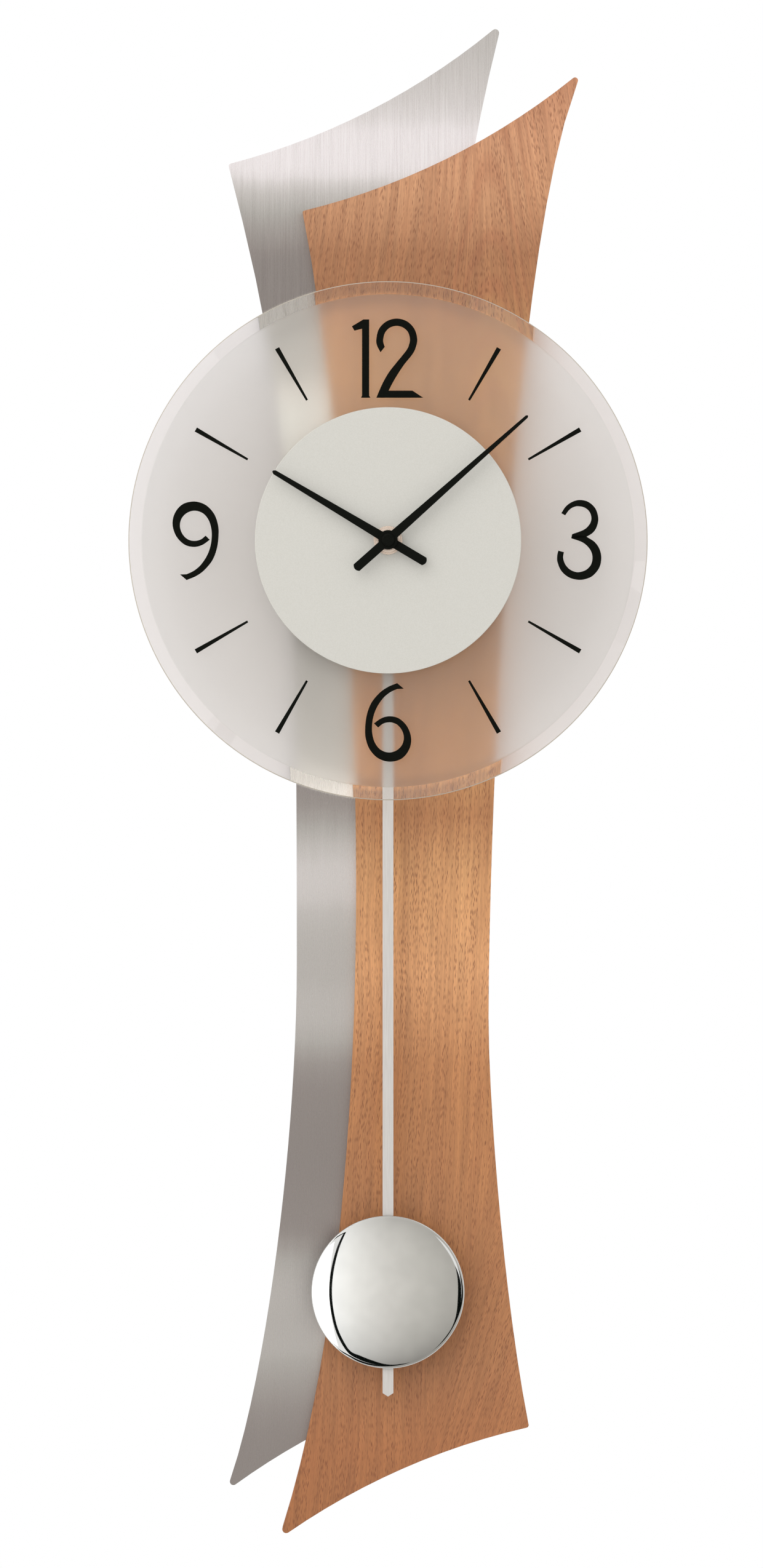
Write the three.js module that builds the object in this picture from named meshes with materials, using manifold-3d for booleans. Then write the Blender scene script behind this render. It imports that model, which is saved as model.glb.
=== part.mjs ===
import * as THREE from 'three';
import { mergeVertices, toCreasedNormals } from 'three/addons/utils/BufferGeometryUtils.js';
import Module from 'manifold-3d';

// A battery pendulum wall clock, in millimetres.
// Pieces are drawn as seen from the front: x to the right, y up the wall and z out of it, from the dial axis.
// The last group turns that view so that +Z is up and puts the wall hook at the origin.

const { PI, abs, sin, cos, tan, asin, acos, sqrt, atan2, max, min } = Math;

// Clearances
const seat = 0.3; // between two pieces that rest on each other
const running = 0.25; // round a shaft in its hole
const sideClearance = 2; // round the movement in its window
const past = 1; // how far a cut runs past a face
const blend = 0.2; // how far joined solids run into each other
const weldDistance = 1e-4; // corners nearer than this are one
const creaseAngle = 0.6; // sharper edges stay sharp when shaded

// Panels: x and y of the corners and of the handles of the side curves
const aluminiumThickness = 3;
const woodThickness = 8;
const hookHeight = 135; // wall hook above the dial's axis
const endArcRadius = 322; // curve of the top and bottom edges
const wood = {
  topLeft: [-40.2, 154.6],
  tip: [90.6, 220.2],
  bottomRight: [65.8, -412.4],
  foot: [-50.9, -464.7],
  rightWaist: [46.9, -221.5],
  leftWaist: [-14.8, -160],
  tipHandle: [56.5, 142.8],
  rightHandle: [53.5, -350.3],
  leftHandle: [-22.8, -380],
  shoulderHandle: [-38.9, 158],
  rightReach: [78.2, 36.2],
  leftReach: [97.1, 176],
};
const aluminium = {
  topLeft: [-74.7, 177.3],
  tip: [53.3, 243.6],
  bottomRight: [28.9, -391.4],
  foot: [-75.7, -443.3],
  rightWaist: [11, -190],
  leftWaist: [-42.6, -195.5],
  tipHandle: [29, 150],
  rightHandle: [18, -335],
  leftHandle: [-58.1, -397.5],
  shoulderHandle: [-45.3, 64.6],
  rightReach: [190, 70],
  leftReach: [87.3, 209],
};
const tipRounding = 5.5; // from a corner along its sides to the ends of its round
const cornerRounding = 1.2;
const roundSteps = 6; // straight steps of a round, and of each side of a panel
const sideDivisions = [14, 22, 12, 12, 20, 14];
const topScrewGap = 15; // from the hanger down to the uppermost panel screw
const lowerScrewHeights = [-78, -230, -375];
const panelScrewX = -3;

// Wood screws
const screwRadius = 1.7;
const screwHeadRadius = 3.3;
const screwHeadHeight = 1.7;
const panelScrewLength = 8.5;
const carrierScrewLength = 7;
const hangerScrewLength = 6;

// Keyhole hanger
const hangerWidth = 30;
const hangerThickness = 1;
const keyholeSlotRadius = 2.5;
const keyholeRoundRadius = 5.2;
const keyholeDrop = 14; // from the hook down to the round part
const hangerMargin = 18; // plate above the hook and below the round part
const hangerScrewInset = 5;
const hangerCorner = 2;
const hookPocketDepth = 5;
const hookPocketHalfWidth = 8;
const hookPocketCorner = 7;

// Glass dial
const glassRadius = 120;
const glassThickness = 4.5;
const glassEdge = 1.8; // thickness left at the rim
const bevelWidth = 6.6;
const discRadius = 61.5;
const discThickness = 1;
const padRadius = 20; // rubber ring behind the glass
const padThickness = 1;
const ringRadius = 6.7;
const ringThickness = 0.6;
const nutRadius = 5.6;
const nutThickness = 2.2;

// Bracket that carries the dial
const carrierThickness = 1.5;
const carrierHalfWidth = 15.5;
const carrierDisc = 24;
const carrierBend = 1.6;
const upperLegGap = 8; // above the movement
const lowerLegGap = 4; // below the movement
const upperFoot = 15;
const lowerFoot = 8.5;
const upperScrewX = 9;
const upperScrewInset = 5.3;
const lowerScrewInset = 4.3;

// Hands
const bushRadius = 4;
const pipeRadius = 2.7;
const arborRadius = 1.75;
const handThickness = 0.6;
const hubRadius = 4.45;
const tailWidth = 4.07;
const tailLength = 20.4;
const minuteLength = 86.1;
const minuteTipWidth = 1.4;
const minuteAngle = 48.4; // degrees past twelve
const hourLength = 61.9;
const hourTipWidth = 2.1;
const hourAngle = 300.8;
const handLift = 1.4; // between the nut and the hour hand, and between the hands
const hourCollar = 1.2;
const hourCollarWall = 0.9;
const capRadius = 2.9;
const capHeight = 1.8;
const capEase = 0.7; // slope round the cap's front

// Gear train
const pressureAngle = 25 * PI / 180;
const backlash = 0.14;
const curvedFlankTeeth = 10; // a gear with more teeth has flanks that are nearly straight
const toothRise = 0.72; // tip above the pitch circle, in modules
const toothDrop = 1.05; // root below the pitch circle, in modules
const motionModule = 0.5;
const trainModule = 0.4;
const cannonTeeth = 10;
const motionTeeth = 30;
const motionPinionTeeth = 8;
const hourTeeth = motionTeeth + cannonTeeth - motionPinionTeeth;
const centreTeeth = 48;
const thirdTeeth = 40;
const thirdPinionTeeth = 8;
const motorTeeth = 8;
const knobTeeth = 10;
const motionDirection = -20 * PI / 180; // of the motion wheel and the knob from the axis
const thirdDirection = 150 * PI / 180; // of the third wheel from the axis
const motorDirection = 110 * PI / 180; // of the motor pinion from the third wheel
const hourWheelThickness = 1.3;
const motionThickness = 1.4;
const thirdThickness = 1.2;
const centreThickness = 1.4;
const wheelGap = 0.65;
const postRadius = 0.6;
const flangeRadius = 6.5;
const flangeThickness = 1;

// Movement housing
const caseWall = 1.5;
const caseRounding = 4;
const caseTop = 30;
const postInset = 3.5; // screw posts from the inside of the case
const postRise = 4; // lower posts above the edge of the gear plate
const plateSkirt = 3.8; // gear plate below the hub of the lever
const gearPlateThickness = 1.5;
const plateScrewRadius = 1;
const plateScrewHead = 2.2;
const plateScrewHeadHeight = 1.3;
const plateScrewBite = 5.5; // depth of the screw in its post
const postWall = 1.3;
const bossWall = 1;
const bossRadius = 1.7;
const bossHeight = 1.5;
const knobWallGap = 2.3; // from the wall to the knob
const knobRadius = 7.5;
const knobThickness = 3;
const knobFlutes = 12;
const fluteRadius = 0.9;
const motorSize = [20, 22, 9];
const motorCorner = 2;
const motorCan = { radius: 20 / 3, height: 1 };
const boardSize = [22, 20, 1.2];
const boardInset = 1.2;
const crystal = { x: 6, y: 5, radius: 1.5, length: 8 }; // x and y from the board's upper left corner
const chip = { x: 3, y: 10, width: 3, height: 6, thickness: 1.6 };
const resinDrop = { x: 14, y: 12, radius: 3.4, crown: 2.2, height: 1.1 };

// Battery, an AA cell lying across the movement
const cellRadius = 7.25;
const cellLength = 50.3;
const cellShoulder = 1;
const cellButtonRadius = 2.7;
const cellButtonLength = 1.4;
const contactThickness = 0.5;
const contactHeight = 11;
const contactWidth = 8;
const leafSpace = 2.7; // for the spring leaf at the flat end
const trayWall = 1.2;
const cellInset = 0.2;
const cellPlay = 0.5; // above and below the cell in its tray

// Pendulum
const pivotDrop = 17; // pivot below the dial's axis
const pegDrop = 52; // peg that the rod hangs on
const swingAngle = 5 * PI / 180;
const leverThickness = 2.4;
const leverWidth = 5;
const leverHub = 3.2;
const pinRadius = 1;
const pegRadius = 1;
const pegHeadRadius = 1.5;
const pegHeadThickness = 0.6;
const magnetRadius = 3.2;
const magnetThickness = 1.5;
const magnetRim = 1.2; // lever round the magnet
const coilRadius = 6.5;
const coilThickness = 2;
const coilBore = 2;
const coilGap = 0.9;
const rodWidth = 5;
const rodThickness = 1;
const rodTop = 3.5; // above the peg
const rodTip = 396.7; // below the dial's axis
const rodPoint = 1.6;
const bobDrop = 348.1;
const bobRadius = 35.5;
const bobDome = 7.6;
const bobSkirt = 1.6;
const bobWall = 0.8;
const bobPlate = 1;
const domeSteps = [0.86, 0.66, 0.4, 0]; // shares of the radius at which the dome has a ring
const clipThickness = 0.5;
const clipBend = 0.5;
const clipHeight = 12;
const clipFoot = 6;

// Distances from the wall, built up from the wall outwards
const movementBack = knobWallGap + knobThickness + seat;
const cellAxisDepth = movementBack + cellInset + cellRadius;
const trayFront = cellAxisDepth + cellRadius + seat + trayWall;
const leverBack = trayFront + coilGap;
const leverFront = leverBack + leverThickness;
const magnetBack = leverFront + seat;
const magnetFront = magnetBack + magnetThickness;
const coilBack = magnetFront + coilGap;
const caseInside = coilBack + coilThickness + seat;
const movementFront = caseInside + caseWall;
const carrierBack = movementFront + seat;
const carrierFront = carrierBack + carrierThickness;
const padBack = carrierFront + seat;
const glassBack = padBack + padThickness + seat;
const glassFront = glassBack + glassThickness;
const discBack = glassFront + seat;
const ringBack = discBack + discThickness + seat;
const nutBack = ringBack + ringThickness + seat;
const bushFront = nutBack + nutThickness + seat;
const hourHandBack = bushFront + handLift;
const minuteHandBack = hourHandBack + handThickness + handLift;
const arborFront = minuteHandBack + handThickness + seat + capHeight / 2;
const woodBack = aluminiumThickness + seat;
const woodFront = woodBack + woodThickness;
const rodBack = leverFront + seat;
const bobBack = rodBack + rodThickness + seat;

// Gear layers, from the front of the case inwards
const flangeBack = caseInside - seat - flangeThickness;
const hourWheelBack = flangeBack - seat - hourWheelThickness;
const motionFront = hourWheelBack - wheelGap;
const motionBack = motionFront - motionThickness;
const thirdFront = motionBack - wheelGap;
const thirdBack = thirdFront - thirdThickness;
const centreFront = thirdBack - wheelGap;
const centreBack = centreFront - centreThickness;
const gearPlateFront = centreBack - wheelGap;
const gearPlateBack = gearPlateFront - gearPlateThickness;
const caseBack = gearPlateBack - seat;
const coverFront = caseBack - seat;

// Housing outline
const bayHalf = (cellLength + leafSpace + contactThickness + 2 * seat) / 2;
const caseInnerHalf = bayHalf + trayWall + seat;
const caseHalf = caseInnerHalf + caseWall;
const gearPlateBottom = -(pivotDrop + leverHub + plateSkirt);
const trayHalfHeight = cellRadius + cellPlay;
const cellDrop = -gearPlateBottom + seat + trayWall + trayHalfHeight;
const caseBottom = -(cellDrop + trayHalfHeight + trayWall + caseWall + seat);
const screwPosts = [
  new THREE.Vector2(-caseInnerHalf + postInset, gearPlateBottom + postRise),
  new THREE.Vector2(caseInnerHalf - postInset, gearPlateBottom + postRise),
  new THREE.Vector2(0, caseTop - caseWall - postInset),
];

// Gear places
const polar = (distance, angle) => new THREE.Vector2(distance * cos(angle), distance * sin(angle));
const spacing = (module, a, b) => module * (a + b) / 2;
const motionPlace = polar(spacing(motionModule, cannonTeeth, motionTeeth), motionDirection);
const fromMotion = polar(spacing(motionModule, motionTeeth, knobTeeth), motionDirection);
const knobPlace = motionPlace.clone().add(fromMotion);
const thirdPlace = polar(spacing(trainModule, centreTeeth, thirdPinionTeeth), thirdDirection);
const fromThird = polar(spacing(trainModule, thirdTeeth, motorTeeth), motorDirection);
const motorPlace = thirdPlace.clone().add(fromThird);

const finishes = {
  beech: { color: 0xc48d63, roughness: 0.45, metalness: 0 },
  brushedAluminium: { color: 0xb8b2ad, roughness: 0.35, metalness: 1 },
  satinGlass: { color: 0xdfe2dd, roughness: 0.4, metalness: 0, transparent: true, opacity: 0.45 },
  satinSilver: { color: 0xdad8d0, roughness: 0.6, metalness: 0.4 },
  blackLacquer: { color: 0x10120c, roughness: 0.5, metalness: 0 },
  palePlate: { color: 0xe2d2c4, roughness: 0.35, metalness: 0.6 },
  brass: { color: 0xc9a45a, roughness: 0.3, metalness: 1 },
  zincSteel: { color: 0xb4b6b8, roughness: 0.4, metalness: 1 },
  chrome: { color: 0xd6d8da, roughness: 0.05, metalness: 1 },
  blackPlastic: { color: 0x1c1c1e, roughness: 0.55, metalness: 0 },
  whitePlastic: { color: 0xe8e6de, roughness: 0.5, metalness: 0 },
  rubber: { color: 0x2a2a2a, roughness: 0.9, metalness: 0 },
  circuitGreen: { color: 0x2f6b46, roughness: 0.5, metalness: 0 },
  copperWire: { color: 0xa5582c, roughness: 0.45, metalness: 0.8 },
  cellWrap: { color: 0x5c6068, roughness: 0.4, metalness: 0.2 },
  silverLacquer: { color: 0xd8d4d0, roughness: 0.45, metalness: 0.3 },
};

const wasm = await Module();
wasm.setup();

// Geometry with shared corners and no collapsed triangles
function weld(geometry) {
  const plain = new THREE.BufferGeometry();
  plain.setAttribute('position', geometry.getAttribute('position'));
  plain.setIndex(geometry.index);
  const merged = mergeVertices(plain, weldDistance);
  const index = merged.index.array;
  const kept = [];
  for (let i = 0; i < index.length; i += 3) {
    const [a, b, c] = [index[i], index[i + 1], index[i + 2]];
    if (a !== b && b !== c && c !== a) kept.push(a, b, c);
  }
  merged.setIndex(kept);
  return merged;
}

function toSolid(geometry) {
  const welded = weld(geometry);
  return new wasm.Manifold(new wasm.Mesh({
    numProp: 3,
    vertProperties: new Float32Array(welded.getAttribute('position').array),
    triVerts: new Uint32Array(welded.index.array),
  }));
}

function toGeometry(solid) {
  const mesh = solid.getMesh();
  const geometry = new THREE.BufferGeometry();
  geometry.setAttribute('position', new THREE.BufferAttribute(new Float32Array(mesh.vertProperties), 3));
  geometry.setIndex([...mesh.triVerts]);
  return geometry;
}

function join(first, ...others) {
  return toGeometry(others.reduce((solid, next) => solid.add(toSolid(next)), toSolid(first)));
}

function cut(first, ...others) {
  return toGeometry(others.reduce((solid, next) => solid.subtract(toSolid(next)), toSolid(first)));
}

const clock = new THREE.Group();

function piece(name, geometry, finish) {
  const shaded = toCreasedNormals(weld(geometry), creaseAngle);
  const mesh = new THREE.Mesh(shaded, new THREE.MeshStandardMaterial(finish));
  mesh.name = name;
  clock.add(mesh);
}

// An outline pushed out from one distance from the wall to another
function plate(shape, back, front, curveSegments = 8) {
  const depth = front - back;
  const geometry = new THREE.ExtrudeGeometry(shape, { depth, bevelEnabled: false, curveSegments });
  return geometry.translate(0, 0, back);
}

// A profile of [radius, distance from the wall] points turned about an axis at x and y
function turned(profile, segments, x = 0, y = 0) {
  const points = profile.map(([radius, depth]) => new THREE.Vector2(radius, depth));
  return new THREE.LatheGeometry(points, segments).rotateX(PI / 2).translate(x, y, 0);
}

const dialAxis = new THREE.Vector2(0, 0);

function rod(radius, back, front, place = dialAxis, segments = 10) {
  return turned([[0, back], [radius, back], [radius, front], [0, front]], segments, place.x, place.y);
}

function ring(inner, outer, back, front, segments, place = dialAxis) {
  const profile = [[inner, back], [outer, back], [outer, front], [inner, front], [inner, back]];
  return turned(profile, segments, place.x, place.y);
}

function box(x0, x1, y0, y1, z0, z1) {
  const geometry = new THREE.BoxGeometry(x1 - x0, y1 - y0, z1 - z0);
  return geometry.translate((x0 + x1) / 2, (y0 + y1) / 2, (z0 + z1) / 2);
}

function roundedRectangle(x0, x1, y0, y1, radius) {
  const shape = new THREE.Shape();
  shape.absarc(x1 - radius, y1 - radius, radius, 0, PI / 2);
  shape.absarc(x0 + radius, y1 - radius, radius, PI / 2, PI);
  shape.absarc(x0 + radius, y0 + radius, radius, PI, 1.5 * PI);
  shape.absarc(x1 - radius, y0 + radius, radius, 1.5 * PI, 2 * PI);
  return shape;
}

// Side view of a strip bent at its corners, each bend a round of the given radius on the strip's middle line
function bentStrip(corners, thickness, bend, steps = 3) {
  const left = [];
  const right = [];
  const lay = (point, direction) => {
    const normal = new THREE.Vector2(-direction.y, direction.x).multiplyScalar(thickness / 2);
    left.push(point.clone().add(normal));
    right.unshift(point.clone().sub(normal));
  };
  const points = corners.map(([x, y]) => new THREE.Vector2(x, y));
  const towards = (i) => points[i + 1].clone().sub(points[i]).normalize();
  lay(points[0], towards(0));
  for (let i = 1; i < points.length - 1; i++) {
    const into = towards(i - 1);
    const away = towards(i);
    const turn = atan2(into.cross(away), into.dot(away));
    const setback = bend * tan(abs(turn) / 2);
    const point = points[i].clone().addScaledVector(into, -setback);
    lay(point, into);
    for (let step = 1; step <= steps; step++) {
      const chord = 2 * bend * sin(abs(turn) / steps / 2);
      const heading = into.clone().rotateAround(new THREE.Vector2(), turn * (step - 0.5) / steps);
      point.addScaledVector(heading, chord);
      lay(point, into.clone().rotateAround(new THREE.Vector2(), turn * step / steps));
    }
  }
  lay(points[points.length - 1], towards(points.length - 2));
  return new THREE.Shape([...left, ...right].reverse());
}

// A side view of [distance from the wall, y] pushed along x, over the given width about x
function sideways(shape, width, x = 0) {
  const geometry = new THREE.ExtrudeGeometry(shape, { depth: width, bevelEnabled: false });
  return geometry.rotateY(-PI / 2).translate(x + width / 2, 0, 0);
}

// Spur gear outline: involute flanks from the base circle to the tip, straight flanks below it
function gearShape(teeth, module, phase) {
  const pitchRadius = module * teeth / 2;
  const baseRadius = pitchRadius * cos(pressureAngle);
  const tipRadius = pitchRadius + toothRise * module;
  const rootRadius = pitchRadius - toothDrop * module;
  const involute = (angle) => tan(angle) - angle;
  const halfThickness = (PI * module / 2 - backlash / 2) / 2 / pitchRadius;
  const halfAngle = (radius) => {
    const flank = max(radius, baseRadius);
    return halfThickness + involute(pressureAngle) - involute(acos(baseRadius / flank));
  };
  const flankMiddle = (max(rootRadius, baseRadius) + tipRadius) / 2;
  const radii = teeth > curvedFlankTeeth ? [rootRadius, tipRadius] : [rootRadius, flankMiddle, tipRadius];
  const points = [];
  for (let tooth = 0; tooth < teeth; tooth++) {
    const middle = phase + tooth * 2 * PI / teeth;
    for (const radius of radii) points.push(polar(radius, middle - halfAngle(radius)));
    for (const radius of [...radii].reverse()) points.push(polar(radius, middle + halfAngle(radius)));
  }
  return new THREE.Shape(points);
}

function gear(teeth, module, phase, back, front, place = new THREE.Vector2()) {
  return plate(gearShape(teeth, module, phase), back, front).translate(place.x, place.y, 0);
}

// Phase of a gear that meshes with another whose tooth stands at the given phase
function meshPhase(phase, teeth, direction, meshingTeeth) {
  return direction + PI - (PI - (direction - phase) * teeth) / meshingTeeth;
}

// Countersunk wood screw: its head's flat face lies at headDepth and its point goes towards the side, 1 or -1
function screw(length, x, y, headDepth, side) {
  const profile = [
    [0, 0],
    [screwHeadRadius, 0],
    [screwRadius, screwHeadHeight],
    [screwRadius, length - 2 * screwRadius],
    [0, length],
  ];
  const geometry = turned(profile, 10);
  if (side < 0) geometry.rotateX(PI);
  return geometry.translate(x, y, headDepth);
}

// The space that a screw needs, a seat's gap wider all round and open past its head
function screwHole(length, x, y, headDepth, side) {
  const profile = [
    [0, -2 * seat],
    [screwHeadRadius + seat, -2 * seat],
    [screwHeadRadius + seat, seat / 2],
    [screwRadius + seat, screwHeadHeight + seat / 2],
    [screwRadius + seat, length + seat],
    [0, length + seat],
  ];
  const geometry = turned(profile, 10);
  if (side < 0) geometry.rotateX(PI);
  return geometry.translate(x, y, headDepth);
}

// Arc between two points, bulging to the right of the way from the first to the second
function arcBetween(start, end, radius) {
  const half = end.clone().sub(start).multiplyScalar(0.5);
  const inward = new THREE.Vector2(-half.y, half.x).normalize();
  const centre = start.clone().add(half).addScaledVector(inward, sqrt(radius ** 2 - half.lengthSq()));
  const from = start.clone().sub(centre).angle();
  const to = end.clone().sub(centre).angle();
  return new THREE.EllipseCurve(centre.x, centre.y, radius, radius, from, to, false);
}

// Points of the circular round that replaces a corner, between the points where it starts and ends
function cornerRound(from, corner, to) {
  const weight = from.distanceTo(to) / (from.distanceTo(corner) + to.distanceTo(corner));
  const points = [];
  for (let k = 1; k < roundSteps; k++) {
    const share = k / roundSteps;
    const [first, middle, last] = [(1 - share) ** 2, 2 * weight * share * (1 - share), share ** 2];
    const sum = from.clone().multiplyScalar(first).addScaledVector(corner, middle).addScaledVector(to, last);
    points.push(sum.divideScalar(first + middle + last));
  }
  return points;
}

// A panel: concave top and bottom arcs between four corners, and two waisted sides
function panelShape(outline) {
  const at = Object.fromEntries(
    ['topLeft', 'tip', 'bottomRight', 'foot', 'rightWaist', 'leftWaist'].map((key) => [
      key,
      new THREE.Vector2(...outline[key]),
    ]),
  );
  const handle = (key) => new THREE.Vector2(...outline[key]);
  const above = (point, distance) => new THREE.Vector2(point.x, point.y + distance);
  const side = (a, b, c, d) => new THREE.CubicBezierCurve(a, b, c, d);
  const [rightUp, rightDown] = outline.rightReach;
  const [leftDown, leftUp] = outline.leftReach;
  const edges = [
    arcBetween(at.topLeft, at.tip, endArcRadius),
    side(at.tip, handle('tipHandle'), above(at.rightWaist, rightUp), at.rightWaist),
    side(at.rightWaist, above(at.rightWaist, -rightDown), handle('rightHandle'), at.bottomRight),
    arcBetween(at.bottomRight, at.foot, endArcRadius),
    side(at.foot, handle('leftHandle'), above(at.leftWaist, -leftDown), at.leftWaist),
    side(at.leftWaist, above(at.leftWaist, leftUp), handle('shoulderHandle'), at.topLeft),
  ];
  const roundings = [cornerRounding, tipRounding, 0, cornerRounding, tipRounding, 0];
  const points = [];
  edges.forEach((edge, i) => {
    const length = edge.getLength();
    const first = roundings[i] / length;
    const last = 1 - roundings[(i + 1) % edges.length] / length;
    const steps = sideDivisions[i];
    const begin = points.length && !roundings[i] ? 1 : 0; // the last side's end is this side's start
    if (points.length && roundings[i]) {
      points.push(...cornerRound(points.at(-1), edge.getPoint(0), edge.getPointAt(first)));
    }
    for (let k = begin; k <= steps; k++) {
      points.push(edge.getPointAt(THREE.MathUtils.lerp(first, last, k / steps)));
    }
  });
  points.push(...cornerRound(points.at(-1), at.topLeft, points[0]));
  return new THREE.Shape(points.reverse());
}

const windowHalf = caseHalf + sideClearance;
const windowTop = caseTop + sideClearance;
const windowBottom = caseBottom - sideClearance;
const hangerTop = hookHeight + hangerMargin;
const hangerBottom = hookHeight - keyholeDrop - hangerMargin;
const hangerFrontFace = woodBack - seat;
const hangerBackFace = hangerFrontFace - hangerThickness;
const panelScrewHeights = [hangerBottom - topScrewGap, ...lowerScrewHeights];
const hangerScrewYs = [hangerTop - hangerScrewInset, hangerBottom + hangerScrewInset];
const upperLeg = caseTop + upperLegGap;
const lowerLeg = caseBottom - lowerLegGap;
const lowerFootEnd = lowerLeg - lowerFoot;
const swingRoom = rodWidth / 2 + (-lowerFootEnd - pivotDrop) * tan(swingAngle) + sideClearance;
const lowerScrewX = (swingRoom + carrierHalfWidth) / 2;
const carrierScrews = [
  [-upperScrewX, upperLeg + upperFoot - upperScrewInset],
  [upperScrewX, upperLeg + upperFoot - upperScrewInset],
  [-lowerScrewX, lowerFootEnd + lowerScrewInset],
  [lowerScrewX, lowerFootEnd + lowerScrewInset],
];
const footFront = woodFront + seat + carrierThickness;

function movementWindow(front) {
  return box(-windowHalf, windowHalf, windowBottom, windowTop, -past, front + past);
}

function makePanels() {
  const hangerHole = roundedRectangle(
    -hangerWidth / 2 - seat,
    hangerWidth / 2 + seat,
    hangerBottom - seat,
    hangerTop + seat,
    keyholeSlotRadius,
  );
  const panelHoles = panelScrewHeights.map((y) => screwHole(panelScrewLength, panelScrewX, y, seat, 1));
  const back = cut(
    plate(panelShape(aluminium), 0, aluminiumThickness),
    movementWindow(aluminiumThickness),
    plate(hangerHole, -past, aluminiumThickness + past, 3),
    ...panelHoles,
  );
  piece('aluminium_panel', back, finishes.brushedAluminium);

  const pocket = roundedRectangle(
    -hookPocketHalfWidth,
    hookPocketHalfWidth,
    hookHeight - keyholeDrop - hookPocketHalfWidth,
    hookHeight + hookPocketHalfWidth,
    hookPocketCorner,
  );
  const front = cut(
    plate(panelShape(wood), woodBack, woodFront),
    movementWindow(woodFront),
    plate(pocket, woodBack - past, woodBack + hookPocketDepth, 3),
    ...panelHoles,
    ...hangerScrewYs.map((y) => screwHole(hangerScrewLength, 0, y, hangerBackFace, 1)),
    ...carrierScrews.map(([x, y]) => screwHole(carrierScrewLength, x, y, footFront, -1)),
  );
  piece('wood_panel', front, finishes.beech);
  panelScrewHeights.forEach((y, i) => {
    piece(`panel_screw_${i + 1}`, screw(panelScrewLength, panelScrewX, y, seat, 1), finishes.zincSteel);
  });
}

// Steel plate with a keyhole: a screw's head goes in at the round part and the slot rests on its shank
function makeHanger() {
  const shape = roundedRectangle(-hangerWidth / 2, hangerWidth / 2, hangerBottom, hangerTop, hangerCorner);
  const neck = asin(keyholeSlotRadius / keyholeRoundRadius);
  const keyhole = new THREE.Path();
  keyhole.absarc(0, hookHeight, keyholeSlotRadius, 0, PI);
  keyhole.absarc(0, hookHeight - keyholeDrop, keyholeRoundRadius, PI / 2 + neck, PI / 2 - neck + 2 * PI);
  shape.holes.push(keyhole);
  const holes = hangerScrewYs.map((y) => screwHole(hangerScrewLength, 0, y, hangerBackFace, 1));
  piece('hanger_plate', cut(plate(shape, hangerBackFace, hangerFrontFace, 4), ...holes), finishes.zincSteel);
  hangerScrewYs.forEach((y, i) => {
    piece(`hanger_screw_${i + 1}`, screw(hangerScrewLength, 0, y, hangerBackFace, 1), finishes.zincSteel);
  });
}

// Steel strip bent over the movement, with a round seat for the glass and a gap for the pendulum
function makeCarrier() {
  const footMiddle = footFront - carrierThickness / 2;
  const bridgeMiddle = carrierFront - carrierThickness / 2;
  const strip = bentStrip(
    [
      [footMiddle, upperLeg + upperFoot],
      [footMiddle, upperLeg],
      [bridgeMiddle, upperLeg],
      [bridgeMiddle, lowerLeg],
      [footMiddle, lowerLeg],
      [footMiddle, lowerFootEnd],
    ],
    carrierThickness,
    carrierBend,
  );
  const disc = new THREE.Shape().absarc(0, 0, carrierDisc, 0, 2 * PI);
  const notchTop = lowerLeg + carrierBend + carrierThickness + sideClearance;
  const body = join(sideways(strip, 2 * carrierHalfWidth), plate(disc, carrierBack, carrierFront, 16));
  const shaped = cut(
    body,
    rod(bushRadius + seat, carrierBack - past, carrierFront + past, dialAxis, 20),
    box(-swingRoom, swingRoom, lowerFootEnd - past, notchTop, woodFront, carrierFront + past),
    ...carrierScrews.map(([x, y]) => screwHole(carrierScrewLength, x, y, footFront, -1)),
  );
  piece('dial_carrier', shaped, finishes.zincSteel);
  carrierScrews.forEach(([x, y], i) => {
    piece(`carrier_screw_${i + 1}`, screw(carrierScrewLength, x, y, footFront, -1), finishes.zincSteel);
  });
}

function makeDial() {
  const bore = bushRadius + seat;
  piece('dial_washer', ring(bore, padRadius, padBack, padBack + padThickness, 20), finishes.rubber);
  const glass = [
    [bore, glassBack],
    [glassRadius, glassBack],
    [glassRadius, glassBack + glassEdge],
    [glassRadius - bevelWidth, glassFront],
    [bore, glassFront],
    [bore, glassBack],
  ];
  piece('dial_glass', turned(glass, 64), finishes.satinGlass);
  const disc = ring(bore, discRadius, discBack, discBack + discThickness, 44);
  piece('centre_disc', disc, finishes.satinSilver);
  const washer = ring(bore, ringRadius, ringBack, ringBack + ringThickness, 22);
  piece('centre_washer', washer, finishes.palePlate);
  const chamfer = nutThickness / 4;
  const nut = [
    [bore, nutBack],
    [nutRadius, nutBack],
    [nutRadius, nutBack + nutThickness - chamfer],
    [nutRadius - chamfer, nutBack + nutThickness],
    [bore, nutBack + nutThickness],
    [bore, nutBack],
  ];
  const slot = nutThickness / 3;
  const slotFloor = nutBack + nutThickness - slot;
  const spannerSlots = box(-nutRadius, nutRadius, -slot, slot, slotFloor, bushFront + past);
  piece('centre_nut', cut(turned(nut, 20), spannerSlots), finishes.palePlate);
}

// A hand pointing up: an even tail with a blunt point, a round hub and a blade that tapers to its tip
function handShape(length, tipWidth) {
  const tail = tailWidth / 2;
  const tip = tipWidth / 2;
  const shape = new THREE.Shape();
  const meet = asin(tail / hubRadius);
  shape.moveTo(tip, length - tip);
  shape.lineTo(tip / 3, length);
  shape.lineTo(-tip / 3, length);
  shape.lineTo(-tip, length - tip);
  shape.absarc(0, 0, hubRadius, PI / 2 + meet, 1.5 * PI - meet);
  shape.lineTo(-tail, -tailLength + tail / 2);
  shape.quadraticCurveTo(-tail / 2, -tailLength, 0, -tailLength);
  shape.quadraticCurveTo(tail / 2, -tailLength, tail, -tailLength + tail / 2);
  shape.absarc(0, 0, hubRadius, 1.5 * PI + meet, 2.5 * PI - meet);
  return shape;
}

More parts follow.
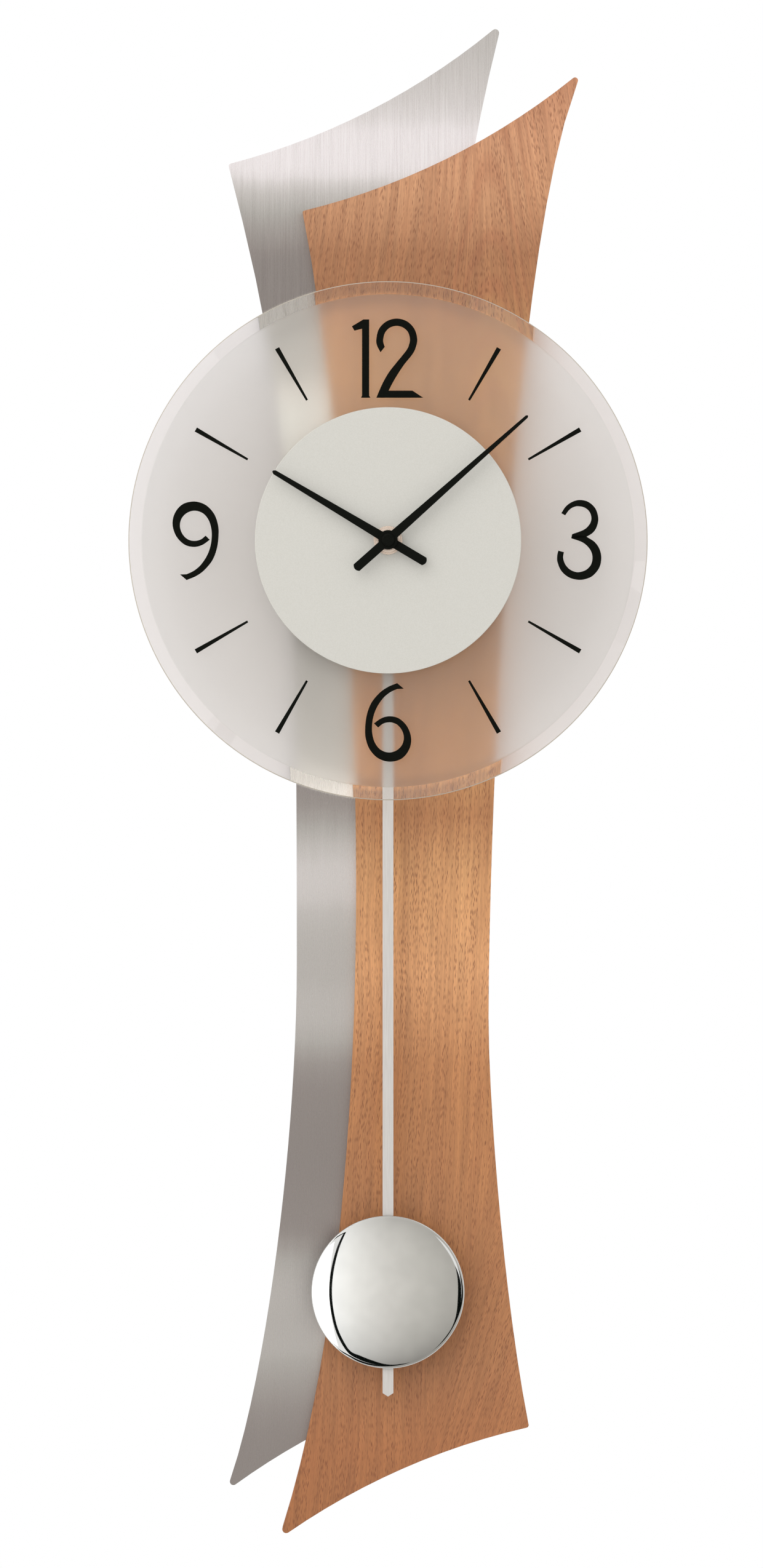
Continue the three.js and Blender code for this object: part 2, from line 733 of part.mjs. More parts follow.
function handPlate(length, tipWidth, boreRadius, back, degrees) {
  const shape = handShape(length, tipWidth);
  shape.holes.push(new THREE.Path().absarc(0, 0, boreRadius, 0, 2 * PI, true));
  return plate(shape, back, back + handThickness, 6).rotateZ(-degrees * PI / 180);
}

function makeHands() {
  const collarBack = hourHandBack - hourCollar;
  const hourBore = pipeRadius + running;
  const collarFront = hourHandBack + handThickness / 2;
  const collar = ring(hourBore, hourBore + hourCollarWall, collarBack, collarFront, 16);
  const hourPlateBore = hourBore + hourCollarWall / 3;
  const hourPlate = handPlate(hourLength, hourTipWidth, hourPlateBore, hourHandBack, hourAngle);
  piece('hour_hand', join(hourPlate, collar), finishes.blackLacquer);
  const minuteBore = arborRadius + running;
  const minutePlate = handPlate(minuteLength, minuteTipWidth, minuteBore, minuteHandBack, minuteAngle);
  piece('minute_hand', minutePlate, finishes.blackLacquer);
  const capBack = minuteHandBack + handThickness + seat;
  const cap = [
    [0, arborFront + seat],
    [minuteBore, arborFront + seat],
    [minuteBore, capBack],
    [capRadius, capBack],
    [capRadius, capBack + capHeight - capEase],
    [capRadius - capEase, capBack + capHeight],
    [0, capBack + capHeight],
  ];
  piece('hand_cap', turned(cap, 16), finishes.blackLacquer);
}

// Brass bush: a flange inside the case and a long barrel that the nut goes on
function makeBush() {
  const bore = pipeRadius + running;
  const profile = [
    [bore, flangeBack],
    [flangeRadius, flangeBack],
    [flangeRadius, flangeBack + flangeThickness],
    [bushRadius, flangeBack + flangeThickness],
    [bushRadius, bushFront],
    [bore, bushFront],
    [bore, flangeBack],
  ];
  piece('centre_bush', turned(profile, 20), finishes.brass);
}

const cannonPhase = 0;
const motionPhase = meshPhase(cannonPhase, cannonTeeth, motionDirection, motionTeeth);
const knobPhase = meshPhase(motionPhase, motionTeeth, motionDirection, knobTeeth);
const motionPinionPhase = 0;
const hourPhase = meshPhase(motionPinionPhase, motionPinionTeeth, motionDirection + PI, hourTeeth);
const centrePhase = 0;
const thirdPinionPhase = meshPhase(centrePhase, centreTeeth, thirdDirection, thirdPinionTeeth);
const thirdPhase = 0;
const motorPhase = meshPhase(thirdPhase, thirdTeeth, motorDirection, motorTeeth);

function makeGears() {
  const journal = arborRadius / 2;
  const arbor = turned(
    [
      [0, gearPlateBack + seat],
      [journal, gearPlateBack + seat],
      [journal, gearPlateFront + seat],
      [arborRadius, gearPlateFront + seat],
      [arborRadius, arborFront],
      [0, arborFront],
    ],
    14,
  );
  const minuteArbor = join(
    arbor,
    gear(centreTeeth, trainModule, centrePhase, centreBack, centreFront),
    gear(cannonTeeth, motionModule, cannonPhase, motionBack - blend, motionFront + blend),
  );
  piece('minute_arbor', minuteArbor, finishes.brass);

  const pipeBore = arborRadius + running;
  const hourWheel = join(
    gear(hourTeeth, motionModule, hourPhase, hourWheelBack, hourWheelBack + hourWheelThickness),
    rod(pipeRadius, hourWheelBack, hourHandBack + handThickness, dialAxis, 16),
  );
  const pipeHole = rod(pipeBore, hourWheelBack - past, arborFront, dialAxis, 14);
  piece('hour_wheel', cut(hourWheel, pipeHole), finishes.whitePlastic);

  const pinionBack = motionFront - blend;
  const motionWheel = join(
    gear(motionTeeth, motionModule, motionPhase, motionBack, motionFront, motionPlace),
    gear(motionPinionTeeth, motionModule, motionPinionPhase, pinionBack, flangeBack - blend, motionPlace),
  );
  const postHole = rod(postRadius + running, motionBack - past, caseInside, motionPlace);
  piece('motion_wheel', cut(motionWheel, postHole), finishes.whitePlastic);

  const thirdWheel = join(
    gear(thirdTeeth, trainModule, thirdPhase, thirdBack, thirdFront, thirdPlace),
    gear(thirdPinionTeeth, trainModule, thirdPinionPhase, centreBack - blend, thirdBack + blend, thirdPlace),
    rod(postRadius, gearPlateBack + seat, caseInside - seat, thirdPlace),
  );
  piece('third_wheel', thirdWheel, finishes.whitePlastic);

  const motorPinion = join(
    gear(motorTeeth, trainModule, motorPhase, thirdBack - blend, thirdFront + blend, motorPlace),
    rod(postRadius, gearPlateBack - seat, thirdFront + wheelGap, motorPlace),
  );
  piece('motor_pinion', motorPinion, finishes.brass);
}

const knobShaftRadius = 2 * postRadius;

function makeKnob() {
  const knobFront = movementBack - seat;
  const knobBack = knobFront - knobThickness;
  const grip = new THREE.Shape().absarc(knobPlace.x, knobPlace.y, knobRadius, 0, 2 * PI);
  const flutes = Array.from({ length: knobFlutes }, (_, i) => {
    const place = knobPlace.clone().add(polar(knobRadius + fluteRadius / 3, i * 2 * PI / knobFlutes));
    return rod(fluteRadius, knobBack - past, knobFront + past, place, 5);
  });
  const knob = join(
    cut(plate(grip, knobBack, knobFront, 18), ...flutes),
    rod(knobShaftRadius, knobFront - blend, caseInside - seat, knobPlace),
    gear(knobTeeth, motionModule, knobPhase, motionBack - blend, motionFront + blend, knobPlace),
  );
  piece('setting_knob', knob, finishes.whitePlastic);
}

const pivotPlace = new THREE.Vector2(0, -pivotDrop);
const postOuter = plateScrewRadius + seat + postWall;
const screwBore = plateScrewRadius + seat;
const caseOutline = roundedRectangle(-caseHalf, caseHalf, caseBottom, caseTop, caseRounding);
const innerTop = caseTop - caseWall;
const innerBottom = caseBottom + caseWall;
const innerRounding = caseRounding - caseWall;
const caseHollow = roundedRectangle(-caseInnerHalf, caseInnerHalf, innerBottom, innerTop, innerRounding);

// Front shell of the movement, with screw posts, bearing bosses and a slot for the pendulum lever
function makeCase() {
  const outer = plate(caseOutline, caseBack, movementFront, 3);
  const shell = cut(outer, plate(caseHollow, caseBack - past, caseInside, 3));
  const bossRoot = caseInside + blend;
  const withPosts = join(
    shell,
    ...screwPosts.map((place) => rod(postOuter, gearPlateFront + seat, bossRoot, place)),
    rod(postRadius, motionBack - blend, bossRoot, motionPlace, 8),
    rod(bossRadius, caseInside - bossHeight, bossRoot, thirdPlace),
    rod(knobShaftRadius + running + bossWall, motionFront + wheelGap, bossRoot, knobPlace),
    rod(pinRadius + running + bossWall, leverFront + seat, bossRoot, pivotPlace),
  );
  const slotHalf = leverWidth / 2 + (-caseBottom - pivotDrop) * tan(swingAngle) + sideClearance / 2;
  const screwEnd = gearPlateFront + plateScrewBite + 2 * seat;
  const holes = [
    rod(bushRadius + seat, caseInside - past, movementFront + past, dialAxis, 24),
    ...screwPosts.map((place) => rod(screwBore, gearPlateFront, screwEnd, place, 8)),
    rod(postRadius + running, caseInside - bossHeight - past, caseInside, thirdPlace, 8),
    rod(knobShaftRadius + running, motionFront, caseInside, knobPlace),
    rod(pinRadius + running, leverFront, caseInside, pivotPlace),
    box(-slotHalf, slotHalf, caseBottom - past, innerBottom + past, leverBack - seat, leverFront + seat),
  ];
  piece('movement_case', cut(withPosts, ...holes), finishes.blackPlastic);
}

// Inner plate with the rear bearings, and the boss that the pendulum lever runs against
function makeGearPlate() {
  const half = caseInnerHalf - seat;
  const shape = roundedRectangle(-half, half, gearPlateBottom, innerTop - seat, innerRounding);
  const body = join(
    plate(shape, gearPlateBack, gearPlateFront, 3),
    rod(pinRadius + running + bossWall, gearPlateFront - blend, leverBack - seat, pivotPlace),
  );
  const through = (radius, place) => rod(radius, gearPlateBack - past, leverBack, place, 8);
  const holes = [
    through(arborRadius / 2 + running, dialAxis),
    through(postRadius + running, thirdPlace),
    through(postRadius + running, motorPlace),
    through(knobShaftRadius + running, knobPlace),
    through(pinRadius + running, pivotPlace),
    ...screwPosts.map((place) => through(screwBore, place)),
  ];
  piece('gear_plate', cut(body, ...holes), finishes.whitePlastic);
}

// The tray's hollow: flat-sided at the wall and round in front, as long as the bay
function bayHollow() {
  const side = new THREE.Shape();
  side.moveTo(movementBack - past, -cellDrop + trayHalfHeight);
  side.lineTo(movementBack - past, -cellDrop - trayHalfHeight);
  side.lineTo(cellAxisDepth, -cellDrop - trayHalfHeight);
  const roundDepth = trayFront - trayWall - cellAxisDepth;
  side.absellipse(cellAxisDepth, -cellDrop, roundDepth, trayHalfHeight, -PI / 2, PI / 2);
  const along = { depth: 2 * bayHalf, bevelEnabled: false, curveSegments: 10 };
  return new THREE.ExtrudeGeometry(side, along).rotateY(-PI / 2).translate(bayHalf, 0, 0);
}

// Rear shell with the battery tray, which is open towards the wall
function makeCover() {
  const outer = plate(caseOutline, movementBack, coverFront, 3);
  const shell = cut(outer, plate(caseHollow, movementBack + caseWall, coverFront + past, 3));
  const trayOutline = roundedRectangle(
    -bayHalf - trayWall,
    bayHalf + trayWall,
    -cellDrop - trayHalfHeight - trayWall,
    -cellDrop + trayHalfHeight + trayWall,
    innerRounding,
  );
  const tray = plate(trayOutline, movementBack, trayFront, 3);
  const postBack = movementBack + caseWall - blend;
  const posts = screwPosts.map((place) => rod(postOuter, postBack, gearPlateBack - seat, place));
  const holes = [
    bayHollow(),
    contactSlot(1),
    contactSlot(-1),
    rod(knobShaftRadius + running, movementBack - past, coverFront, knobPlace),
    ...screwPosts.map((place) => rod(screwBore, movementBack - past, gearPlateBack, place, 8)),
  ];
  piece('rear_cover', cut(join(shell, tray, ...posts), ...holes), finishes.blackPlastic);
  screwPosts.forEach((place, i) => {
    const tip = gearPlateFront + seat + plateScrewBite;
    const profile = [
      [0, movementBack - seat - plateScrewHeadHeight],
      [plateScrewHead, movementBack - seat - plateScrewHeadHeight],
      [plateScrewHead, movementBack - seat],
      [plateScrewRadius, movementBack - seat],
      [plateScrewRadius, tip - plateScrewRadius],
      [0, tip],
    ];
    piece(`case_screw_${i + 1}`, turned(profile, 8, place.x, place.y), finishes.zincSteel);
  });
}

// Room at one end of the tray for the width of a contact
function contactSlot(end) {
  const inner = end * (bayHalf - leafSpace);
  const outer = end * bayHalf;
  return box(
    min(inner, outer),
    max(inner, outer),
    -cellDrop - contactHeight / 2 - seat,
    -cellDrop + contactHeight / 2 + seat,
    movementBack - past,
    cellAxisDepth + contactWidth / 2 + seat,
  );
}

// The cell lies along x with its button to the right, between a flat contact and a spring leaf
function makeBattery() {
  const plusFace = bayHalf - seat - contactThickness;
  const cellEnd = plusFace - seat;
  const cellStart = cellEnd - cellLength;
  const profile = [
    [0, cellStart],
    [cellRadius - cellShoulder, cellStart],
    [cellRadius, cellStart + cellShoulder],
    [cellRadius, cellEnd - cellButtonLength - cellShoulder],
    [cellRadius - cellShoulder, cellEnd - cellButtonLength],
    [cellButtonRadius, cellEnd - cellButtonLength],
    [cellButtonRadius, cellEnd],
    [0, cellEnd],
  ];
  const cell = turned(profile, 20).rotateY(PI / 2).translate(0, -cellDrop, cellAxisDepth);
  piece('battery', cell, finishes.cellWrap);

  const plus = box(
    plusFace,
    plusFace + contactThickness,
    -cellDrop - contactHeight / 2,
    -cellDrop + contactHeight / 2,
    cellAxisDepth - contactWidth / 2,
    cellAxisDepth + contactWidth / 2,
  );
  piece('battery_contact_plus', plus, finishes.zincSteel);

  const wallSide = -bayHalf + seat + contactThickness / 2;
  const cellSide = cellStart - seat - contactThickness / 2;
  const leaf = bentStrip(
    [
      [wallSide, -cellDrop + contactHeight / 2],
      [wallSide, -cellDrop - contactHeight / 2 + contactThickness],
      [cellSide, -cellDrop - contactHeight / 4],
      [cellSide, -cellDrop + contactHeight / 4],
    ],
    contactThickness,
    contactThickness,
  );
  const leafBack = cellAxisDepth - contactWidth / 2;
  piece('battery_contact_minus', plate(leaf, leafBack, leafBack + contactWidth), finishes.zincSteel);
}

// Motor block, fixed to the back of the gear plate
function makeMotor() {
  const [width, height, depth] = motorSize;
  const front = gearPlateBack - seat;
  const { x, y } = motorPlace;
  const block = roundedRectangle(x - width / 2, x + width / 2, y - height / 2, y + height / 2, motorCorner);
  const motor = cut(
    join(
      plate(block, front - depth, front, 3),
      rod(motorCan.radius, front - depth - motorCan.height, front, motorPlace, 20),
    ),
    rod(postRadius + running, front - depth / 2, front + past, motorPlace),
  );
  piece('drive_motor', motor, finishes.whitePlastic);
}

// Circuit board beside the motor, with its crystal, a resin drop over the bare chip and a driver chip
function makeBoard() {
  const [width, height, thickness] = boardSize;
  const left = caseInnerHalf - boardInset - width;
  const top = innerTop - boardInset;
  const front = gearPlateBack - seat;
  const back = front - thickness;
  const can = new THREE.CylinderGeometry(crystal.radius, crystal.radius, crystal.length, 10).rotateZ(PI / 2);
  const drop = [
    [0, -resinDrop.height],
    [resinDrop.crown, blend - resinDrop.height],
    [resinDrop.radius, blend],
    [0, blend],
  ];
  const chipLeft = left + chip.x;
  const chipTop = top - chip.y;
  const board = join(
    box(left, left + width, top - height, top, back, front),
    turned(drop, 10, left + resinDrop.x, top - resinDrop.y).translate(0, 0, back),
    can.translate(left + crystal.x, top - crystal.y, back + blend - crystal.radius),
    box(chipLeft, chipLeft + chip.width, chipTop - chip.height, chipTop, back - chip.thickness, back + blend),
  );
  piece('circuit_board', board, finishes.circuitGreen);
}

// Lever on a steel pin, with a magnet that a coil drives and a headed peg that the rod hangs on
function makeDriveLever() {
  const magnet = new THREE.Vector2(0, -cellDrop);
  const arm = new THREE.Shape();
  arm.absarc(0, -pivotDrop, leverHub, -PI / 4, PI + PI / 4);
  arm.absarc(0, -pegDrop, leverWidth / 2, PI, 2 * PI);
  const seatRing = new THREE.Shape().absarc(0, -cellDrop, magnetRadius + magnetRim, 0, 2 * PI);
  const rodFront = rodBack + rodThickness;
  const pegProfile = [
    [0, leverFront - blend],
    [pegRadius, leverFront - blend],
    [pegRadius, rodFront + seat],
    [pegHeadRadius, rodFront + 2 * seat],
    [pegHeadRadius, rodFront + 2 * seat + pegHeadThickness],
    [0, rodFront + 2 * seat + pegHeadThickness],
  ];
  const lever = cut(
    join(
      plate(arm, leverBack, leverFront, 5),
      plate(seatRing, leverBack, leverFront, 8),
      turned(pegProfile, 12, 0, -pegDrop),
    ),
    rod(pinRadius + running, leverBack - past, leverFront + past, pivotPlace),
  );
  piece('pendulum_lever', lever, finishes.whitePlastic);
  const pin = rod(pinRadius, gearPlateBack + seat, caseInside - seat, pivotPlace);
  piece('pendulum_pin', pin, finishes.zincSteel);
  piece('drive_magnet', rod(magnetRadius, magnetBack, magnetFront, magnet, 16), finishes.zincSteel);
  const coil = ring(coilBore, coilRadius, coilBack, coilBack + coilThickness, 20, magnet);
  piece('pendulum_coil', coil, finishes.copperWire);
}

// Flat strip with a keyhole at the top and a shallow point at the bottom
function makeRod() {
  const half = rodWidth / 2;
  const top = -pegDrop + rodTop;
  const shape = new THREE.Shape();
  shape.moveTo(-half, top - half);
  shape.lineTo(-half, -rodTip + rodPoint);
  shape.lineTo(0, -rodTip);
  shape.lineTo(half, -rodTip + rodPoint);
  shape.lineTo(half, top - half);
  shape.absellipse(0, top - half, half, half, 0, PI);
  const slotRadius = pegRadius + running;
  const roundRadius = pegHeadRadius + running;
  const neck = asin(slotRadius / roundRadius);
  const drop = 2 * roundRadius;
  const keyhole = new THREE.Path();
  keyhole.absarc(0, -pegDrop, slotRadius, 0, PI);
  keyhole.absarc(0, -pegDrop - drop, roundRadius, PI / 2 + neck, PI / 2 - neck + 2 * PI);
  shape.holes.push(keyhole);
  piece('pendulum_rod', plate(shape, rodBack, rodBack + rodThickness, 4), finishes.silverLacquer);
}

// Spun dome with a short skirt, closed by a plate whose spring clip grips the rod
function makeBob() {
  const domeBack = bobBack + bobSkirt;
  const sphere = (bobRadius ** 2 + bobDome ** 2) / (2 * bobDome);
  const domeCentre = domeBack + bobDome - sphere;
  const dome = (edge, round) => domeSteps.map((share) => {
    const radius = edge * share;
    return [radius, domeCentre + sqrt(round ** 2 - radius ** 2)];
  });
  const inside = bobRadius - bobWall;
  const profile = [
    ...dome(inside, sphere - bobWall).reverse(),
    [inside, domeBack],
    [inside, bobBack],
    [bobRadius, bobBack],
    [bobRadius, domeBack],
    ...dome(bobRadius, sphere),
  ];
  piece('bob_shell', turned(profile, 36, 0, -bobDrop), finishes.chrome);

  const bobCentre = new THREE.Vector2(0, -bobDrop);
  const backPlate = rod(inside - seat, bobBack, bobBack + bobPlate, bobCentre, 36);
  piece('bob_back', backPlate, finishes.zincSteel);

  const footDepth = bobBack - seat - clipThickness / 2;
  const bridgeDepth = rodBack - seat - clipThickness / 2;
  const bridgeHalf = rodWidth / 2 + seat + clipThickness;
  const clip = bentStrip(
    [
      [-bridgeHalf - clipFoot, footDepth],
      [-bridgeHalf, footDepth],
      [-bridgeHalf, bridgeDepth],
      [bridgeHalf, bridgeDepth],
      [bridgeHalf, footDepth],
      [bridgeHalf + clipFoot, footDepth],
    ],
    clipThickness,
    clipBend,
  );
  const strip = new THREE.ExtrudeGeometry(clip, { depth: clipHeight, bevelEnabled: false });
  strip.rotateX(PI / 2).translate(0, -bobDrop + clipHeight / 2, 0);
  piece('bob_clip', strip, finishes.zincSteel);
}

makePanels();
makeHanger();
makeCarrier();
makeDial();
makeHands();
makeBush();
makeGears();
makeKnob();
makeCase();
makeGearPlate();
makeCover();
makeBattery();
makeMotor();
makeBoard();
makeDriveLever();
makeRod();
makeBob();

// Turned upright, with the hook at the origin
clock.rotation.x = PI / 2;
clock.position.z = -hookHeight;
const part = new THREE.Group();
part.add(clock);

export default part;
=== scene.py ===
import math

import bmesh
import bpy
import numpy as np
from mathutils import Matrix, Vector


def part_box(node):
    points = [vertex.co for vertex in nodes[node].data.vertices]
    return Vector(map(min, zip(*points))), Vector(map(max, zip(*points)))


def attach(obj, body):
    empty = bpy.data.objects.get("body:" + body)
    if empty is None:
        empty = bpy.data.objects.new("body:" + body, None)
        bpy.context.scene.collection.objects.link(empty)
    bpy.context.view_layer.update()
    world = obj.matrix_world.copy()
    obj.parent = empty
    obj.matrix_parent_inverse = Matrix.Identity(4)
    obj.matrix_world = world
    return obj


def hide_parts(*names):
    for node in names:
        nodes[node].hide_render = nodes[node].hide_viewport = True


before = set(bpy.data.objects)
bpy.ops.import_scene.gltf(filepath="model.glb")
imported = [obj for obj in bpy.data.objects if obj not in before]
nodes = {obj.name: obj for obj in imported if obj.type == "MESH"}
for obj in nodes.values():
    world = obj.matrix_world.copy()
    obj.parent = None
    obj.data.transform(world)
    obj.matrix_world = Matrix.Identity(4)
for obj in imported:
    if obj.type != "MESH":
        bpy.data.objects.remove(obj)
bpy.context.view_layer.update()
mm = 0.001
doubles = 1e-7  # corners nearer than this, in metres, are merged


# Meshes
def meshObject(name, body, points, faces, materials, slots=None, sharpest=30):
    # A mesh from corners in mm, with doubles merged, faces turned outwards and smooth shading up to an angle.
    mesh = bpy.data.meshes.new(name)
    mesh.from_pydata((points * mm).tolist(), [], faces.tolist())
    for material in materials:
        mesh.materials.append(material)
    if slots is not None:
        mesh.polygons.foreach_set("material_index", slots.astype(np.int32))
    work = bmesh.new()
    work.from_mesh(mesh)
    bmesh.ops.remove_doubles(work, verts=work.verts, dist=doubles)
    bmesh.ops.recalc_face_normals(work, faces=work.faces)
    work.to_mesh(mesh)
    work.free()
    mesh.shade_smooth()
    mesh.set_sharp_from_angle(angle=math.radians(sharpest))
    obj = bpy.data.objects.new(name, mesh)
    bpy.context.scene.collection.objects.link(obj)
    if body:
        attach(obj, body)
    return obj


def gridFaces(rows, columns):
    # Four-cornered faces between the points of a grid whose every row closes to a ring.
    i, j = (part.ravel() for part in np.meshgrid(np.arange(rows - 1), np.arange(columns), indexing="ij"))
    below, beside = i + 1, (j + 1) % columns
    return np.stack([i * columns + j, i * columns + beside, below * columns + beside, below * columns + j], 1)


def easedProfile(corners, steps=5, beside=1.6):
    # A polyline of (radius, depth, rounding): each rounded corner is a curve from one rounding before it to
    # one after it, with a further point beside each end so that the flat stretches stay flat when shaded.
    corners = np.array(corners, float)
    line = [corners[0, :2]]
    for before, corner, after in zip(corners[:-2], corners[1:-1], corners[2:]):
        place, rounding = corner[:2], corner[2]
        if rounding:
            back = (before[:2] - place) / np.linalg.norm(before[:2] - place)
            ahead = (after[:2] - place) / np.linalg.norm(after[:2] - place)
            t = np.linspace(0, 1, steps)[:, None]
            start, end = place + back * rounding, place + ahead * rounding
            bend = (1 - t) ** 2 * start + 2 * t * (1 - t) * place + t**2 * end
            line += [place + back * rounding * beside, *bend, place + ahead * rounding * beside]
        else:
            line.append(place)
    return np.array([*line, corners[-1, :2]])


def turnedPiece(name, body, profile, centre, segments, materials, slotOf=None, sharpest=30):
    # A profile of (radius, depth from the wall) turned about an axis that points out of the wall:
    # x = centre x + radius sin a, y = minus depth, z = centre z + radius cos a.
    angle = np.linspace(0, 2 * math.pi, segments, endpoint=False)
    radius, depth = profile[:, :1], profile[:, 1:]
    x = centre[0] + radius * np.sin(angle)
    z = centre[1] + radius * np.cos(angle)
    points = np.stack([x, np.broadcast_to(-depth, x.shape), z], 2).reshape(-1, 3)
    faces = gridFaces(len(profile), segments)
    slots = None if slotOf is None else np.repeat(slotOf(profile[:-1], profile[1:]), segments)
    return meshObject(name, body, points, faces, materials, slots, sharpest)


def smoothLine(points, count):
    # A Catmull-Rom curve through the points: each stretch is a cubic whose ends run along their neighbours.
    points = np.array(points, float)
    padded = np.vstack([2 * points[0] - points[1], points, 2 * points[-1] - points[-2]])
    t = np.linspace(0, len(points) - 1, count)
    i = np.minimum(t.astype(int), len(points) - 2)
    s = (t - i)[:, None]
    a, b, c, d = (padded[i + k] for k in range(4))
    return 0.5 * (2 * b + (c - a) * s + (2 * a - 5 * b + 4 * c - d) * s**2 + (3 * b - a - 3 * c + d) * s**3)


def strip(left, right, back, front):
    # A flat strip between two edges of (x, z), as thick as from depth back to depth front, closed all round.
    count = len(left)
    rails = [(left, front), (right, front), (right, back), (left, back)]
    lines = [np.column_stack([edge[:, 0], np.full(count, -depth), edge[:, 1]]) for edge, depth in rails]
    ends = np.array([[3, 2, 1, 0], np.arange(4) + 4 * (count - 1)])
    faces = np.vstack([gridFaces(count, len(rails)), ends])
    return np.stack(lines, 1).reshape(-1, 3), faces


def joinMeshes(parts):
    # Corners and faces of several meshes as one.
    corners = [points for points, faces in parts]
    starts = np.cumsum([0] + [len(points) for points in corners])
    return np.vstack(corners), np.vstack([faces + start for (points, faces), start in zip(parts, starts)])


# Materials
def linearOf(hexColour):
    # An sRGB hex colour as linear red, green and blue, with alpha.
    parts = [int(hexColour[i : i + 2], 16) / 255 for i in (1, 3, 5)]
    return (*[p / 12.92 if p <= 0.04045 else ((p + 0.055) / 1.055) ** 2.4 for p in parts], 1.0)


def setInputs(tree, node, values):
    # Gives a node's inputs a value or a link each, by name or number, or in order from the first one on.
    # Where a node is given, its first output in use is linked.
    for name, value in values.items() if isinstance(values, dict) else enumerate(values):
        if isinstance(value, bpy.types.Node):
            value = next(output for output in value.outputs if output.enabled)
        if isinstance(value, bpy.types.NodeSocket):
            tree.links.new(value, node.inputs[name])
        else:
            node.inputs[name].default_value = value


def addNode(tree, kind, values=(), **settings):
    # Adds a node with its own settings and its inputs.
    node = tree.nodes.new("ShaderNode" + kind)
    for name, value in settings.items():
        setattr(node, name, value)
    setInputs(tree, node, values)
    return node


def newMaterial(name, **sockets):
    # A material with one shader, whose sockets are named with underscores for spaces.
    material = bpy.data.materials.new(name)
    material.use_nodes = True
    tree = material.node_tree
    shader = tree.nodes["Principled BSDF"]
    setInputs(tree, shader, {socket.replace("_", " "): value for socket, value in sockets.items()})
    return material, tree, shader


noiseRange = (0.3, 0.7)  # most values of a noise lie here
wholeRange = (0.2, 0.8)  # and nearly all of them here


def noiseOf(tree, sizes, place=None, **inputs):
    # Noise whose features have about these sizes in mm along x, y and z.
    place = place or addNode(tree, "TexCoord").outputs["Object"]
    scale = tuple(1 / (size * mm) for size in sizes)
    stretched = addNode(tree, "Mapping", {"Vector": place, "Scale": scale})
    return addNode(tree, "TexNoise", {"Vector": stretched, "Scale": 1.0, **inputs})


def setStops(node, stops):
    # Gives a colour ramp its stops: each is a place from 0 to 1 and an sRGB hex colour.
    node.color_ramp.interpolation = "LINEAR"
    while len(node.color_ramp.elements) < len(stops):
        node.color_ramp.elements.new(0.5)
    for element, (place, colour) in zip(node.color_ramp.elements, stops):
        element.position = place
        element.color = linearOf(colour)
    return node


def heightAlong(tree, low, high):
    # 0 to 1 up the wall, between two heights in mm.
    place = addNode(tree, "SeparateXYZ", [addNode(tree, "TexCoord").outputs["Object"]])
    return addNode(tree, "MapRange", [place.outputs["Z"], low * mm, high * mm, 0.0, 1.0])


# Four numbers in a row, here and in the dictionaries, turn one range into another: from low, from high, to
# low, to high.
frontFacing = (-0.6, -0.4, 1.0, 0.0)
flatFacing = (0.5, 0.7, 0.0, 1.0)


def facingOf(tree):
    # How far the surface faces the wall: -1 on the front of a panel, 0 on its edges and 1 on its back.
    return addNode(tree, "SeparateXYZ", [addNode(tree, "NewGeometry").outputs["Normal"]]).outputs["Y"]


def underDial(tree, place, middle, reach):
    # 1 on the front of a panel within this reach of the dial's middle (x, z in mm), and 0 elsewhere.
    flat = addNode(tree, "VectorMath", [place, (1, 0, 1)], operation="MULTIPLY")
    away = addNode(tree, "VectorMath", [flat, (middle[0] * mm, 0, middle[1] * mm)], operation="DISTANCE")
    inside = addNode(tree, "MapRange", [away, (reach - 1) * mm, (reach + 1) * mm, 1.0, 0.0])
    front = addNode(tree, "MapRange", [facingOf(tree), *frontFacing])
    return addNode(tree, "Math", [inside, front], operation="MULTIPLY")


